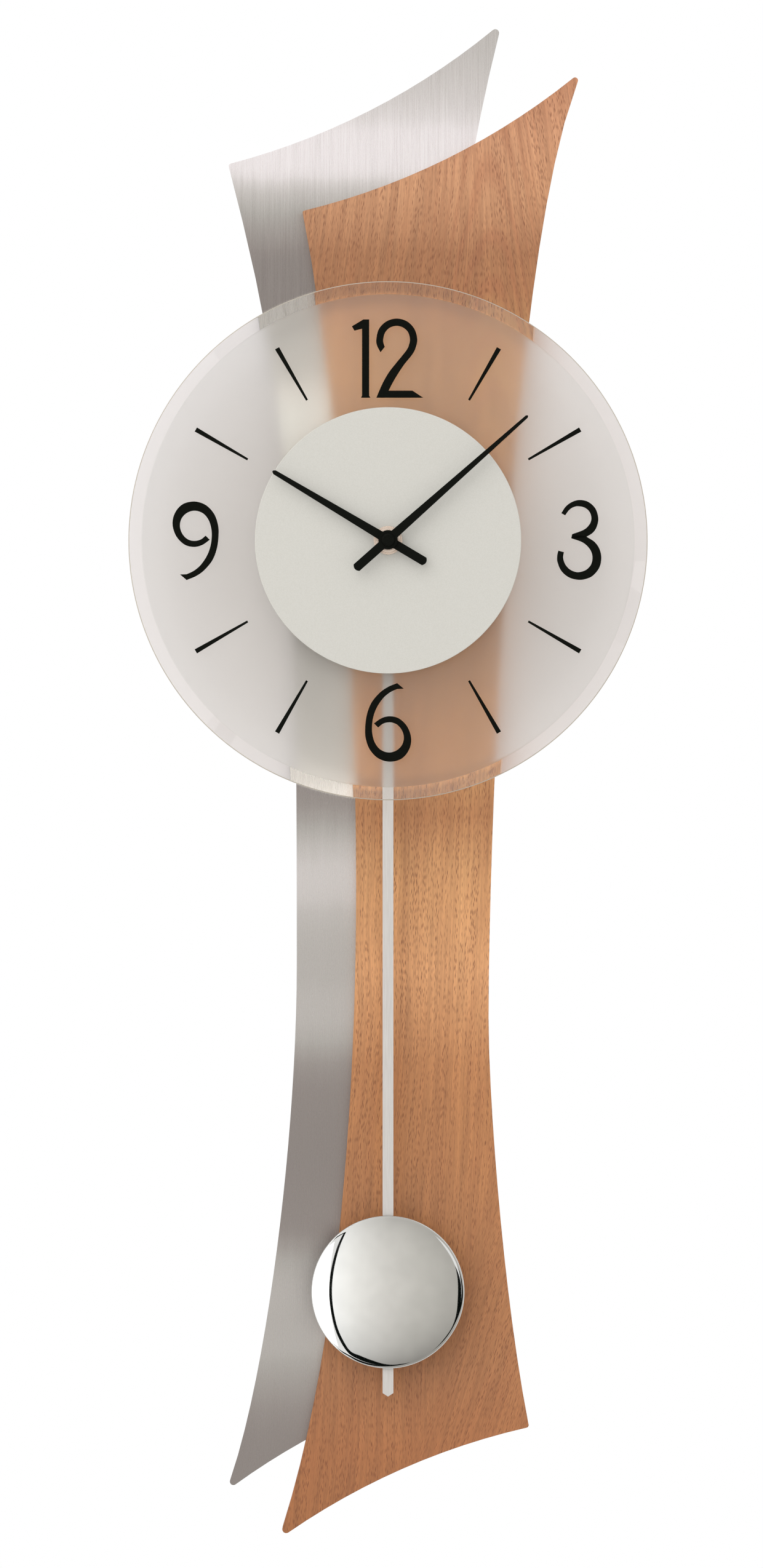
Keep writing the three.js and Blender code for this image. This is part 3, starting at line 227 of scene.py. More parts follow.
beechLook = {
    # height in mm on the panel and the colour there: the veneer's tone, darker towards the bottom, with
    # painted shade just above and just below the glass and painted light behind it
    "tones": [(-598, "#a96b3b"), (-560, "#b27141"), (-520, "#b4784a"), (-400, "#bd7f4c"), (-378, "#c48551"),
              (-335, "#e6a770"), (-300, "#e2a56c"), (-284, "#d69c65"), (-262, "#bd8250"), (-247, "#c8905c"),
              (-225, "#c58d58"), (-60, "#cf9860"), (-38, "#c08b58"), (-18, "#b0774a"), (0, "#ae764b"),
              (12, "#c0875c"), (30, "#d2986c"), (55, "#d69a70"), (82, "#c48660")],
    "shade": "#9c5f38",
    "arch": "#a8633f",
    "pore": "#743d1e",
    "bandSize": (6, 6, 200),
    "bandShare": (0.38, 0.68, 0.0, 0.32),  # from the noise to the share of shade
    "streakSize": (0.9, 0.9, 34),
    "streakGrey": (0.35, 0.65, 0.85, 1.15),
    "poreCell": (0.58, 4.0),  # one pore, or none, to a cell of this size: real ones are too fine to show
    "poreEdge": (0.12, 0.38, 1.0, 0.0),  # from the way out of a cell's middle to the pore's strength
    "poreOften": (0.05, 0.5, 0.0, 0.85),
    "columnSize": (1.6, 1.6, 90),  # columns of more and fewer pores
    "columnShare": (0.4, 0.6, 0.22, 1.0),
    "relief": 0.02,
    "across": (-0.04, 0.06),  # from left to right of the panel, in metres
    "bareShade": (0.955, 1.025),  # painted shade across the bare wood: share of the tone at those places
    "paintedGlassLight": (1.48, 1.2),  # painted light: the same where the wood lies behind the etched glass
    "dialMiddle": (0, -134.6),  # middle of that painted light, as the etched glass falls on the wood
    "dialReach": 110.6,
    "wander": 3,  # how far the grain strays sideways
    "wanderSize": (110, 110, 150),
    "leanBelow": 0.045,  # sideways step of the grain per step up
    "leanLeft": 0.07,
    "leanRight": -0.16,
    "upperFrom": (-0.2, -0.1),  # height in metres where the grain of the upper part sets in
    "slant": 0.3,  # lean in the lower right corner, where the grain runs up to the right
    "slantHeight": -500,
    "slantFrom": (24, 40),  # where that corner sets in, in mm along x at that height
    "archMiddle": 47,
    "archHalf": 15,
    "archWidth": 5,
    "archPeriod": 27,
    "archRough": 40,
    "archRoughSize": (30, 30, 60),
    "archShare": (-0.2, 1.0, 0.0, 0.32),
    "archFadeAside": (0.0, 0.16, 1.0, 0.1),
    "archFadeDown": (-0.2, -0.05, 0.25, 1.0),
}


def grainPlaces(tree, place, look):
    # Places pushed sideways so that the grain leans a little below and runs up both sides of an arch above:
    # x moves by the wander of a broad noise less lean x height.
    parts = addNode(tree, "SeparateXYZ", [place]).outputs
    left, right = ((look["archMiddle"] + side * look["archHalf"]) * mm for side in (-1, 1))
    lean = addNode(tree, "MapRange", [parts["X"], left, right, look["leanLeft"], look["leanRight"]])
    upper = addNode(tree, "MapRange", [parts["Z"], *look["upperFrom"], 0.0, 1.0])
    lean = addNode(tree, "Mix", {0: upper, 2: look["leanBelow"], 3: lean})
    broad = noiseOf(tree, look["wanderSize"], place, Detail=1.0)
    stray = addNode(tree, "MapRange", [broad, *noiseRange, -look["wander"] * mm, look["wander"] * mm])
    leaned = addNode(tree, "Math", [lean, parts["Z"]], operation="MULTIPLY")
    aside = addNode(tree, "Math", [stray, leaned], operation="SUBTRACT")
    return addNode(tree, "VectorMath", [place, addNode(tree, "CombineXYZ", [aside])])


def slantedPlaces(tree, place, look):
    # Places for the grain of the lower right corner: x less slant x (height - slantHeight).
    height = addNode(tree, "SeparateXYZ", [place]).outputs["Z"]
    above = addNode(tree, "Math", [height, look["slantHeight"] * mm], operation="SUBTRACT")
    aside = addNode(tree, "Math", [above, -look["slant"]], operation="MULTIPLY")
    return addNode(tree, "VectorMath", [place, addNode(tree, "CombineXYZ", [aside])])


def growthArches(tree, place, look):
    # Reddish bands of a flat-sawn board that fade out downwards: waves of height + (x - middle) squared over
    # the arch's width.
    parts = addNode(tree, "SeparateXYZ", [place]).outputs
    away = addNode(tree, "Math", [parts["X"], look["archMiddle"] * mm], operation="SUBTRACT")
    squared = addNode(tree, "Math", [away, away], operation="MULTIPLY")
    bow = addNode(tree, "Math", [squared, look["archWidth"] * mm], operation="DIVIDE")
    noise = noiseOf(tree, look["archRoughSize"], place, Detail=3.0)
    rough = addNode(tree, "Math", [noise, look["archRough"] * mm], operation="MULTIPLY")
    level = addNode(tree, "Math", [addNode(tree, "Math", [parts["Z"], bow]), rough])
    phase = addNode(tree, "Math", [level, 2 * math.pi / (look["archPeriod"] * mm)], operation="MULTIPLY")
    wave = addNode(tree, "Math", [phase], operation="SINE")
    share = addNode(tree, "MapRange", [wave, *look["archShare"]])
    beside = addNode(tree, "MapRange", [bow, *look["archFadeAside"]])
    below = addNode(tree, "MapRange", [parts["Z"], *look["archFadeDown"]])
    fading = addNode(tree, "Math", [beside, below], operation="MULTIPLY")
    return addNode(tree, "Math", [share, fading], operation="MULTIPLY")


def poreMarks(tree, grain, look):
    # Short upright dashes on the front and the back, thicker in some columns than in others.
    parts = addNode(tree, "SeparateXYZ", [grain]).outputs
    wide, high = look["poreCell"]
    flat = addNode(tree, "CombineXYZ", [parts["X"], parts["Z"]])
    flat = addNode(tree, "Mapping", {"Vector": flat, "Scale": (1 / (wide * mm), 1 / (high * mm), 1)})
    inputs = {"Vector": flat, "Scale": 1.0, "Randomness": 0.9}
    cells = addNode(tree, "TexVoronoi", inputs, voronoi_dimensions="2D").outputs
    near = addNode(tree, "MapRange", [cells["Distance"], *look["poreEdge"]])
    chosen = addNode(tree, "SeparateColor", [cells["Color"]])
    chosen = addNode(tree, "MapRange", [chosen, *look["poreOften"]])
    columns = noiseOf(tree, look["columnSize"], grain, Detail=1.0)
    columns = addNode(tree, "MapRange", [columns, *look["columnShare"]])
    often = addNode(tree, "Math", [chosen, columns], operation="MULTIPLY")
    facing = addNode(tree, "Math", [facingOf(tree)], operation="ABSOLUTE")
    facing = addNode(tree, "MapRange", [facing, *flatFacing])
    marks = addNode(tree, "Math", [near, often], operation="MULTIPLY")
    return addNode(tree, "Math", [marks, facing], operation="MULTIPLY")


def beechVeneer():
    # Sliced beech under thin satin lacquer: short dark pores along the grain, growth bands, a soft sheen, and
    # painted shade and light by the glass.
    look = beechLook
    material, tree, shader = newMaterial("beechVeneer", Roughness=0.45, Coat_Weight=0.08, Coat_Roughness=0.3)
    place = addNode(tree, "TexCoord").outputs["Object"]
    slanted = slantedPlaces(tree, place, look)
    corner = addNode(tree, "SeparateXYZ", [slanted]).outputs["X"]
    corner = addNode(tree, "MapRange", [corner, *(start * mm for start in look["slantFrom"]), 0.0, 1.0])
    layers = [(noiseOf(tree, look["bandSize"], grain, Detail=3.0, Roughness=0.55),
               noiseOf(tree, look["streakSize"], grain, Detail=4.0, Roughness=0.65),
               poreMarks(tree, grain, look)) for grain in (grainPlaces(tree, place, look), slanted)]
    bands, streaks, marks = (addNode(tree, "Mix", {0: corner, 2: a, 3: b}) for a, b in zip(*layers))
    # Colour up the panel: the veneer's tone with painted shade just above and below the glass and painted
    # light behind it.
    low, high = look["tones"][0][0], look["tones"][-1][0]
    stops = [((height - low) / (high - low), colour) for height, colour in look["tones"]]
    tone = setStops(addNode(tree, "ValToRGB", [heightAlong(tree, low, high)]), stops)
    shaded = addNode(tree, "MapRange", [bands, *look["bandShare"]])
    colour = addNode(tree, "Mix", {0: shaded, 6: tone, 7: linearOf(look["shade"])}, data_type="RGBA")
    arches = growthArches(tree, place, look)
    colour = addNode(tree, "Mix", {0: arches, 6: colour, 7: linearOf(look["arch"])}, data_type="RGBA")
    aside = addNode(tree, "SeparateXYZ", [place]).outputs["X"]
    # Painted shade across the bare wood, and painted light where the wood lies behind the etched glass.
    bare, paintedLight = (addNode(tree, "MapRange", [aside, *look["across"], *look[name]])
                    for name in ("bareShade", "paintedGlassLight"))
    under = underDial(tree, place, look["dialMiddle"], look["dialReach"])
    across = addNode(tree, "Mix", {0: under, 2: bare, 3: paintedLight})
    grey = addNode(tree, "MapRange", [streaks, *look["streakGrey"]])
    grey = addNode(tree, "Math", [grey, across], operation="MULTIPLY")
    grey = addNode(tree, "CombineColor", [grey, grey, grey])
    colour = addNode(tree, "Mix", {0: 1.0, 6: colour, 7: grey}, data_type="RGBA", blend_type="MULTIPLY")
    colour = addNode(tree, "Mix", {0: marks, 6: colour, 7: linearOf(look["pore"])}, data_type="RGBA")
    relief = addNode(tree, "Math", [streaks, marks], operation="SUBTRACT")
    bump = addNode(tree, "Bump", {"Height": relief, "Distance": look["relief"] * mm})
    setInputs(tree, shader, {"Base Color": colour, "Normal": bump})
    return material


aluminiumLook = {
    # painted reflection: height in mm on the panel and how bright its brushed face is painted there, for the
    # light and dark bands the room would reflect
    "bands": [
        (-576, 0.325), (-556, 0.325), (-546, 0.344), (-531, 0.414), (-517, 0.5), (-510, 0.543), (-497, 0.55),
        (-486, 0.563), (-477, 0.54), (-462, 0.4), (-450, 0.33), (-395, 0.325), (-386, 0.346), (-372, 0.457),
        (-365, 0.528), (-351, 0.578), (-334, 0.549), (-310, 0.6), (-297, 0.7), (-290, 0.71), (-282, 0.665),
        (-269, 0.51), (-262, 0.42), (-250, 0.35), (-15, 0.3), (-3, 0.31), (5, 0.356), (28, 0.63), (35, 0.81),
        (44, 0.97), (54, 0.97), (62, 0.88), (78, 0.735), (92, 0.67), (106, 0.63),
    ],
    # painted highlight: the same where a lamp's glow is painted on it behind the glass
    "paintedGlowUnderGlass": [
        (-254, 0.9), (-246, 0.88), (-238, 0.78), (-212, 0.66), (-160, 0.52), (-110, 0.7), (-90, 1.0),
        (-72, 1.0), (-52, 0.7), (-38, 0.64), (-25, 0.64), (-10, 0.52),
    ],
    "glassMiddle": (0.0, -133.7),  # middle of that painted glow, as the edge of the glass falls on the panel
    "glassReach": 121,
    # tint by the share of painted reflection: warm where the panel is painted dull
    "tints": [(0.33, "#fff4ef"), (0.5, "#fcf8f3"), (1.0, "#fcf7fa")],
    # warm tint of the painted glow behind the glass
    "paintedGlowTint": "#fff9ef",
    "sweep": 2,  # how far the bands stray up and down
    "sweepSize": (5, 5, 60),
    "grooveSize": (0.4, 0.4, 30),  # real grooves are about 0.05 mm wide, too fine to show
    "grooveShade": (0.3, 0.7, -0.11, 0.11),
    "grooveFade": (-0.3, -0.2, 0.12, 1.0),  # from height in metres to the strength of that shade
    "grooveGloss": (0.3, 0.7, 0.24, 0.32),
    "grooveDepth": 0.004,
}


def shareCurve(tree, height, bands):
    # A smooth curve from height to the share of painted reflection.
    low, high = bands[0][0], bands[-1][0]
    curve = addNode(tree, "FloatCurve", {
        "Value": addNode(tree, "MapRange", [height, low * mm, high * mm, 0.0, 1.0])})
    line = curve.mapping.curves[0]
    shares = [((height - low) / (high - low), share) for height, share in bands]
    line.points[0].location, line.points[-1].location = shares[0], shares[-1]
    for where, share in shares[1:-1]:
        line.points.new(where, share)
    curve.mapping.update()
    return curve


def brushedAluminium():
    # Sheet brushed along its length: fine grooves up the panel, painted reflection bands across it and a
    # painted glow behind the glass.
    look = aluminiumLook
    material, tree, shader = newMaterial("brushedAluminium", Metallic=1.0, Anisotropic=0.85)
    place = addNode(tree, "TexCoord").outputs["Object"]
    height = addNode(tree, "SeparateXYZ", [place]).outputs["Z"]
    sweep = noiseOf(tree, look["sweepSize"], Detail=2.0)
    sweep = addNode(tree, "MapRange", [sweep, *wholeRange, -look["sweep"] * mm, look["sweep"] * mm])
    swept = addNode(tree, "Math", [height, sweep])
    # Painted reflection bands, and a painted glow where the panel lies behind the glass.
    under = underDial(tree, place, look["glassMiddle"], look["glassReach"])
    outside, inside = (shareCurve(tree, swept, look[name]) for name in ("bands", "paintedGlowUnderGlass"))
    share = addNode(tree, "Mix", {0: under, 2: outside, 3: inside})
    grooves = noiseOf(tree, look["grooveSize"], Detail=4.0, Roughness=0.75)
    shading = addNode(tree, "MapRange", [grooves, *look["grooveShade"]])
    fading = addNode(tree, "MapRange", [height, *look["grooveFade"]])
    shading = addNode(tree, "Math", [shading, fading], operation="MULTIPLY")
    level = addNode(tree, "Math", [share, addNode(tree, "Math", [shading, 1.0])], operation="MULTIPLY")
    grey = addNode(tree, "CombineColor", [level, level, level])
    tint = setStops(addNode(tree, "ValToRGB", [share]), look["tints"])
    tint = addNode(tree, "Mix", {0: under, 6: tint, 7: linearOf(look["paintedGlowTint"])}, data_type="RGBA")
    colour = addNode(tree, "Mix", {0: 1.0, 6: grey, 7: tint}, data_type="RGBA", blend_type="MULTIPLY")
    setInputs(tree, shader, {
        "Base Color": colour,
        "Roughness": addNode(tree, "MapRange", [grooves, *look["grooveGloss"]]),
        "Normal": addNode(tree, "Bump", {"Height": grooves, "Distance": look["grooveDepth"] * mm}),
    })
    return material


glassLook = {
    "clearTint": "#f6f5f5",
    "satinTint": "#dadad8",
    "rimTint": "#c6bdaf",
    "shade": "#fbf9f6",  # what the glass lets through as light falls on the pieces behind it
    "satinRoughness": 0.45,
    "frostSize": (0.35, 0.35, 0.35),
    "frost": 0.03,  # how much that roughness drifts
    "satinVeil": 0.01,  # share of light that the etched face scatters back
    "rimRoughness": 0.5,
    "rimVeil": 0.75,
    "clearMirror": 0.2,  # strength of the mirror image on the front
    "rimMirror": 0.3,
}


def dialGlass(name, tint, roughness, veil, mirror):
    # Float glass: what lies behind it shows through, and light from the lamps passes straight on to it.
    material, tree, shader = newMaterial(name, Roughness=roughness, IOR=1.5, Specular_IOR_Level=mirror,
                                         Transmission_Weight=1.0 - veil, Base_Color=linearOf(tint))
    path = addNode(tree, "LightPath").outputs
    passing = addNode(tree, "Math", [path["Is Shadow Ray"], path["Is Diffuse Ray"]], use_clamp=True)
    clear = addNode(tree, "BsdfTransparent", {"Color": linearOf(glassLook["shade"])})
    mixed = addNode(tree, "MixShader", [passing, shader, clear])
    setInputs(tree, tree.nodes["Material Output"], {"Surface": mixed})
    return material


def satinGlass():
    # Etched face: a fine frost that blurs what lies behind it and leaves a pale veil.
    look = glassLook
    rough, drift = look["satinRoughness"], look["frost"]
    material = dialGlass("etchedGlass", look["satinTint"], rough, look["satinVeil"], 0.0)
    tree = material.node_tree
    frost = noiseOf(tree, look["frostSize"], Detail=2.0)
    frost = addNode(tree, "MapRange", [frost, *wholeRange, rough - drift, rough + drift])
    setInputs(tree, tree.nodes["Principled BSDF"], {"Roughness": frost})
    return material


def plainFinish(name, colour, shade, grain, bump=0.01, rough=(0.4, 0.5), detail=3.0, **sockets):
    # A finish whose colour and gloss drift a little: grain is the size in mm of the marks along x, y and z,
    # bump their height in mm, and rough the roughness of the light marks and of the dark ones.
    material, tree, shader = newMaterial(name, **sockets)
    marks = noiseOf(tree, grain, Detail=detail, Roughness=0.6)
    share = addNode(tree, "MapRange", [marks, *noiseRange, 0.0, 1.0])
    tint = addNode(tree, "Mix", {0: share, 6: linearOf(shade), 7: linearOf(colour)}, data_type="RGBA")
    setInputs(tree, shader, {
        "Base Color": tint,
        "Roughness": addNode(tree, "MapRange", [marks, *noiseRange, rough[1], rough[0]]),
        "Normal": addNode(tree, "Bump", {"Height": marks, "Distance": bump * mm}),
    })
    return material


sleeveLook = {
    # share of the cell's length and the colour there
    "bands": [(0.0, "#b9bbbd"), (0.02, "#33363b"), (0.7, "#3b3f45"), (0.715, "#b57a4a"), (0.965, "#a86d3f"),
              (0.975, "#c6c8c9")],
    "scuffSize": (6, 2, 2),
    "gloss": (0.26, 0.4),
}


def cellSleeve():
    # Printed plastic sleeve of a dry cell: dark body with a copper-coloured band at the button end.
    material, tree, shader = newMaterial("cellSleeve", Roughness=0.32, Metallic=0.35)
    place = addNode(tree, "SeparateXYZ", [addNode(tree, "TexCoord").outputs["Object"]])
    low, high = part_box("battery")
    along = addNode(tree, "MapRange", [place.outputs["X"], low.x, high.x, 0.0, 1.0])
    scuffs = noiseOf(tree, sleeveLook["scuffSize"], Detail=3.0)
    setInputs(tree, shader, {
        "Base Color": setStops(addNode(tree, "ValToRGB", [along]), sleeveLook["bands"]),
        "Roughness": addNode(tree, "MapRange", [scuffs, *noiseRange, *sleeveLook["gloss"]]),
    })
    return material


finishes = {
    "beech": beechVeneer(),
    "brushed_aluminium": brushedAluminium(),
    "satin_glass": satinGlass(),
    # Satin lacquer over a metal disc: an even pale grey with a very fine sparkle.
    "satin_silver": plainFinish("satinSilverLacquer", "#d8d6cf", "#d2d0c8", (0.5, 0.5, 0.5), 0.004,
                                (0.5, 0.6), Metallic=0.15),
    # Stove lacquer on sheet brass: nearly black and matt.
    "black_lacquer": plainFinish("blackLacquer", "#0e100b", "#0a0c08", (0.6, 0.6, 0.6), 0.004, (0.4, 0.5),
                                 Specular_IOR_Level=0.06),
    # Nickel on brass with a warm cast: smooth, bright rings left by turning.
    "pale_plate": plainFinish("warmNickel", "#f0dfd0", "#dcc8b8", (0.6, 0.6, 0.6), 0.003, (0.24, 0.32),
                              Metallic=0.55),
    # Turned brass with tool marks.
    "brass": plainFinish("turnedBrass", "#d9b468", "#bb9147", (0.8, 3.0, 0.8), 0.004, (0.2, 0.32),
                         Metallic=1.0),
    # Rolled steel with bright zinc: cloudy grey with fine streaks.
    "zinc_steel": plainFinish("zincPlatedSteel", "#c9cccf", "#a3a7ab", (3, 3, 9), 0.006, (0.24, 0.4),
                              Metallic=1.0),
    # Polished chromium: nearly a mirror, with a faint haze.
    "chrome": plainFinish("polishedChrome", "#e2e2df", "#dcdcd9", (9, 9, 9), 0.0, (0.02, 0.035), 1.0,
                          Metallic=1.0),
    # Moulded ABS with a spark-eroded grain.
    "black_plastic": plainFinish("blackAbs", "#232325", "#1a1a1c", (0.4, 0.4, 0.4), 0.02, (0.45, 0.6)),
    # Moulded acetal: waxy off-white.
    "white_plastic": plainFinish("whiteAcetal", "#efede6", "#dedbd1", (2, 2, 2), 0.01, (0.35, 0.48),
                                 Subsurface_Weight=0.15, Subsurface_Scale=0.001),
    # Rubber sheet: dull and dusty.
    "rubber": plainFinish("rubberSheet", "#33322f", "#242322", (0.7, 0.7, 0.7), 0.03, (0.75, 0.9)),
    # Fibreglass board with a green solder mask over its weave.
    "circuit_green": plainFinish("solderMask", "#2f7a4c", "#225f3a", (0.9, 0.9, 0.9), 0.01, (0.3, 0.4)),
    # Enamelled copper wire: reddish and glossy, in fine turns.
    "copper_wire": plainFinish("enamelledCopper", "#b8683a", "#7c3f20", (0.5, 0.25, 0.5), 0.05, (0.3, 0.42),
                               Metallic=0.8),
    "cell_wrap": cellSleeve(),
    # Pale silver lacquer on flat steel: almost even, soft sheen.
    "silver_lacquer": plainFinish("paleSilverLacquer", "#d8d4d0", "#cec9c4", (0.5, 0.5, 12), 0.004,
                                  (0.45, 0.55), Metallic=0.2),
}

slotNodes = {
    "beech": ["wood_panel"],
    "brushed_aluminium": ["aluminium_panel"],
    "satin_glass": ["dial_glass"],
    "satin_silver": ["centre_disc"],
    "black_lacquer": ["hour_hand", "minute_hand", "hand_cap"],
    "pale_plate": ["centre_washer", "centre_nut"],
    "brass": ["centre_bush", "minute_arbor", "pendulum_pin"],
    "chrome": ["bob_shell"],
    "black_plastic": ["movement_case", "rear_cover", "drive_motor"],
    "white_plastic": ["gear_plate", "hour_wheel", "motion_wheel", "third_wheel", "motor_pinion",
                      "setting_knob", "pendulum_lever"],
    "rubber": ["dial_washer"],
    "circuit_green": ["circuit_board"],
    "copper_wire": ["pendulum_coil"],
    "cell_wrap": ["battery"],
    "silver_lacquer": ["pendulum_rod"],
}
slotOfNode = {node: slot for slot, names in slotNodes.items() for node in names}
for name, obj in nodes.items():
    obj.data.materials.clear()
    obj.data.materials.append(finishes[slotOfNode.get(name, "zinc_steel")])
print("materials on", len(nodes), "carried-over nodes")


# Places on the dial and the bob, in mm, read from the frame
def middleOf(node):
    low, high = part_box(node)
    return (low.x + high.x) / 2 / mm, (low.z + high.z) / 2 / mm


def depthsOf(node):
    low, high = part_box(node)
    return -high.y / mm, -low.y / mm


def radiusOf(node):
    low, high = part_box(node)
    return (high.x - low.x) / 2 / mm


axis = middleOf("dial_glass")
bobAxis = middleOf("bob_shell")

glassShape = {
    "edge": 1.8,  # thickness left at the rim
    "slope": 6.6,  # width of the ground bevel on the front
    "bore": 4.3,
    "ease": 0.25,
    "rimEase": 0.45,
    "sharpest": 20,  # degrees between faces that still look smooth
    "segments": 320,
}


def makeGlass():
    # The disc is etched on its back out to the bevel, and clear and polished beyond.
    shape = glassShape
    back, front = depthsOf("dial_glass")
    radius = radiusOf("dial_glass")
    etched = radius - shape["slope"]
    ease, rimEase = shape["ease"], shape["rimEase"]
    profile = easedProfile([
        (shape["bore"], back, 0),
        (etched, back, 0),
        (radius, back, rimEase),
        (radius, back + shape["edge"], rimEase),
        (etched, front, ease),
        (shape["bore"], front, 0),
        (shape["bore"], back, 0),
    ])

    def slotOf(start, end):
        # Material of each stretch of the profile: 0 clear, 1 etched, 2 rim.
        near = 0.01
        flat = (start[:, 1] < back + near) & (end[:, 1] < back + near)
        rim = np.minimum(start[:, 0], end[:, 0]) > radius - rimEase * (1 + near)
        return np.where(rim, 2, (flat & (end[:, 0] <= etched + near)).astype(int))

    look = glassLook
    # Polished beyond the etching: what lies behind shows sharp, under a faint mirror image.
    clear = dialGlass("clearGlass", look["clearTint"], 0.0, 0.0, look["clearMirror"])
    # The rim is ground matt: a thin pale line before wood, a thin grey one before white.
    rim = dialGlass("groundRim", look["rimTint"], look["rimRoughness"], look["rimVeil"], look["rimMirror"])
    materials = [clear, finishes["satin_glass"], rim]
    glass = turnedPiece("dialGlass", "clock_frame", profile, axis, shape["segments"], materials, slotOf,
                        shape["sharpest"])
    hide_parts("dial_glass")


def ringProfile(node, bore, ease):
    # A flat ring with eased edges on its front.
    back, front = depthsOf(node)
    radius = radiusOf(node)
    return easedProfile([
        (bore, back, 0),
        (radius, back, 0),
        (radius, front, ease),
        (bore, front, ease),
        (bore, back, 0),
    ])


# node, its finish, the rounding of its edges in mm and the steps round it
dialRings = {
    "dialDisc": ("centre_disc", "satin_silver", 0.25, 256),
    "dialwasher": ("centre_washer", "pale_plate", 0.18, 128),
}


def makeDialMetal():
    # The disc and the washer, both with the bore of the glass.
    for name, (node, slot, ease, segments) in dialRings.items():
        profile = ringProfile(node, glassShape["bore"], ease)
        obj = turnedPiece(name, "clock_frame", profile, axis, segments, [finishes[slot]])
        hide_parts(node)


bobShape = {
    "skirt": 1.6,  # height of the upright edge
    "wall": 0.8,
    "lip": 0.5,  # width of the turn from the skirt to the dome
    "crease": 0.1,  # how far above the shoulder that turn has its corner
    "lipSteps": 7,
    "rings": 40,
    "sharpest": 50,  # degrees between faces that still look smooth
    "segments": 256,
}


def makeBob():
    # A spherical dome on a short skirt: depth = centre + square root of (sphere squared - radius squared).
    shape = bobShape
    back, front = depthsOf("bob_shell")
    radius = radiusOf("bob_shell")
    shoulder = back + shape["skirt"]
    rise = front - shoulder
    sphere = (radius**2 + rise**2) / (2 * rise)
    outer = np.linspace(radius - shape["lip"], 0, shape["rings"])
    inner = outer[::-1] * (radius - shape["wall"]) / radius
    dome = np.column_stack([outer, front - sphere + np.sqrt(sphere**2 - outer**2)])
    hollow = np.column_stack([inner, front - sphere + np.sqrt((sphere - shape["wall"]) ** 2 - inner**2)])
    t = np.linspace(0, 1, shape["lipSteps"])[:, None]
    turnIn = np.array([radius, shoulder - shape["lip"]])
    corner = np.array([radius, shoulder + shape["crease"]])
    lip = (1 - t) ** 2 * turnIn + 2 * t * (1 - t) * corner + t**2 * dome[0]
    wall = [[radius - shape["wall"], shoulder], [radius - shape["wall"], back], [radius, back]]
    profile = np.vstack([hollow, wall, lip[:-1], dome])
    bob = turnedPiece("bobDome", "bob", profile, bobAxis, shape["segments"], [finishes["chrome"]],
                      sharpest=shape["sharpest"])
    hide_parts("bob_shell")


makeGlass()
makeDialMetal()
makeBob()
print("glass, disc and bob made")

# Strokes of the numerals: the two edges of each, in mm from the numeral's middle, x to the right and z up,
# and the number of steps along it where it is curved
numeralStrokes = {
    "one": [
        ([(-16.5, 14.7), (-11.2, 17.9)],
         [(-15.3, 12.7), (-11.8, 13.6)], 2),
        ([(-11.2, 17.9), (-11.8, 13.6), (-11.8, -17.3), (-12.3, -18.3)],
         [(-8.5, 17.9), (-8.5, 13.6), (-8.5, -17.3), (-7.9, -18.3)], 0),
    ],
    "two": [
        ([(-3.3, 2.7), (-4.9, 5.9), (-5.2, 8.8), (-4.0, 13.5), (-0.5, 17.0), (4.2, 18.3), (9.0, 17.0),
          (12.4, 13.5), (13.7, 8.8), (13.0, 4.9), (11.4, 1.7), (7.7, -2.9), (4.7, -7.4), (2.4, -11.3),
          (0.5, -15.0)],
         [(-1.3, 5.2), (-1.9, 7.1), (-2.0, 8.8), (-1.1, 11.9), (1.1, 14.1), (4.2, 14.9), (7.2, 14.1),
          (9.5, 11.9), (10.3, 8.8), (9.9, 6.2), (8.6, 3.5), (4.4, -1.7), (0.5, -6.7), (-2.6, -12.2),
          (-5.2, -18.3)], 90),
        ([(-5.2, -18.3), (11.5, -18.3), (16.5, -18.3)],
         [(0.5, -15.0), (11.5, -15.0), (16.5, -18.3)], 0),
    ],
    "three": [
        ([(-8.3, 12.4), (-6.2, 15.5), (-3.3, 17.6), (0.2, 18.5), (4.2, 17.6), (7.5, 14.5), (8.8, 10.0),
          (8.0, 5.9), (6.2, 3.3), (3.4, 1.5)],
         [(-6.5, 11.4), (-4.7, 13.8), (-2.8, 15.1), (-0.5, 15.6), (2.6, 14.9), (4.8, 12.9), (5.6, 10.0),
          (4.7, 7.2), (2.0, 4.7), (-3.3, 2.7)], 72),
        ([(3.4, 1.5), (7.0, -0.8), (9.3, -4.0), (10.2, -8.2), (9.3, -12.7), (6.5, -16.3), (3.4, -17.9),
          (-0.3, -18.4), (-4.7, -17.3), (-8.2, -14.4), (-10.0, -10.4), (-10.2, -7.5), (-9.7, -4.9)],
         [(-3.7, 0.8), (1.1, -0.9), (3.9, -3.0), (5.6, -5.6), (6.1, -8.4), (5.4, -11.4), (3.4, -13.6),
          (1.1, -14.6), (-1.4, -14.8), (-4.3, -13.6), (-6.4, -11.3), (-7.4, -8.4), (-7.1, -5.6)], 90),
        ([(3.4, 1.5), (3.4, 1.5)],
         [(-3.3, 2.7), (-3.7, 0.8)], 2),
    ],
    "nine": [
        ([(4.7, 2.3), (2.3, 0.5), (-0.8, -0.1), (-3.8, 0.8), (-6.2, 3.4), (-7.2, 7.0), (-6.2, 10.6),
          (-3.4, 13.1), (0.1, 13.8), (3.6, 12.5), (6.0, 9.6), (7.2, 6.0), (7.5, 2.1), (6.9, -2.5),
          (5.3, -6.9), (2.4, -11.2), (-0.8, -13.9), (-4.1, -15.5)],
         [(6.6, 0.4), (3.1, -2.0), (-0.8, -2.9), (-5.1, -1.8), (-8.8, 1.9), (-10.6, 7.3), (-9.6, 12.6),
          (-6.0, 16.8), (-0.5, 18.1), (4.7, 16.5), (8.4, 12.7), (10.2, 8.2), (10.7, 3.6), (10.0, -3.1),
          (7.9, -8.9), (4.2, -13.5), (0.4, -16.3), (-4.1, -18.2)], 120),
        ([(-4.1, -15.5), (-7.2, -15.6)],
         [(-4.1, -18.2), (-7.2, -15.6)], 2),
    ],
}

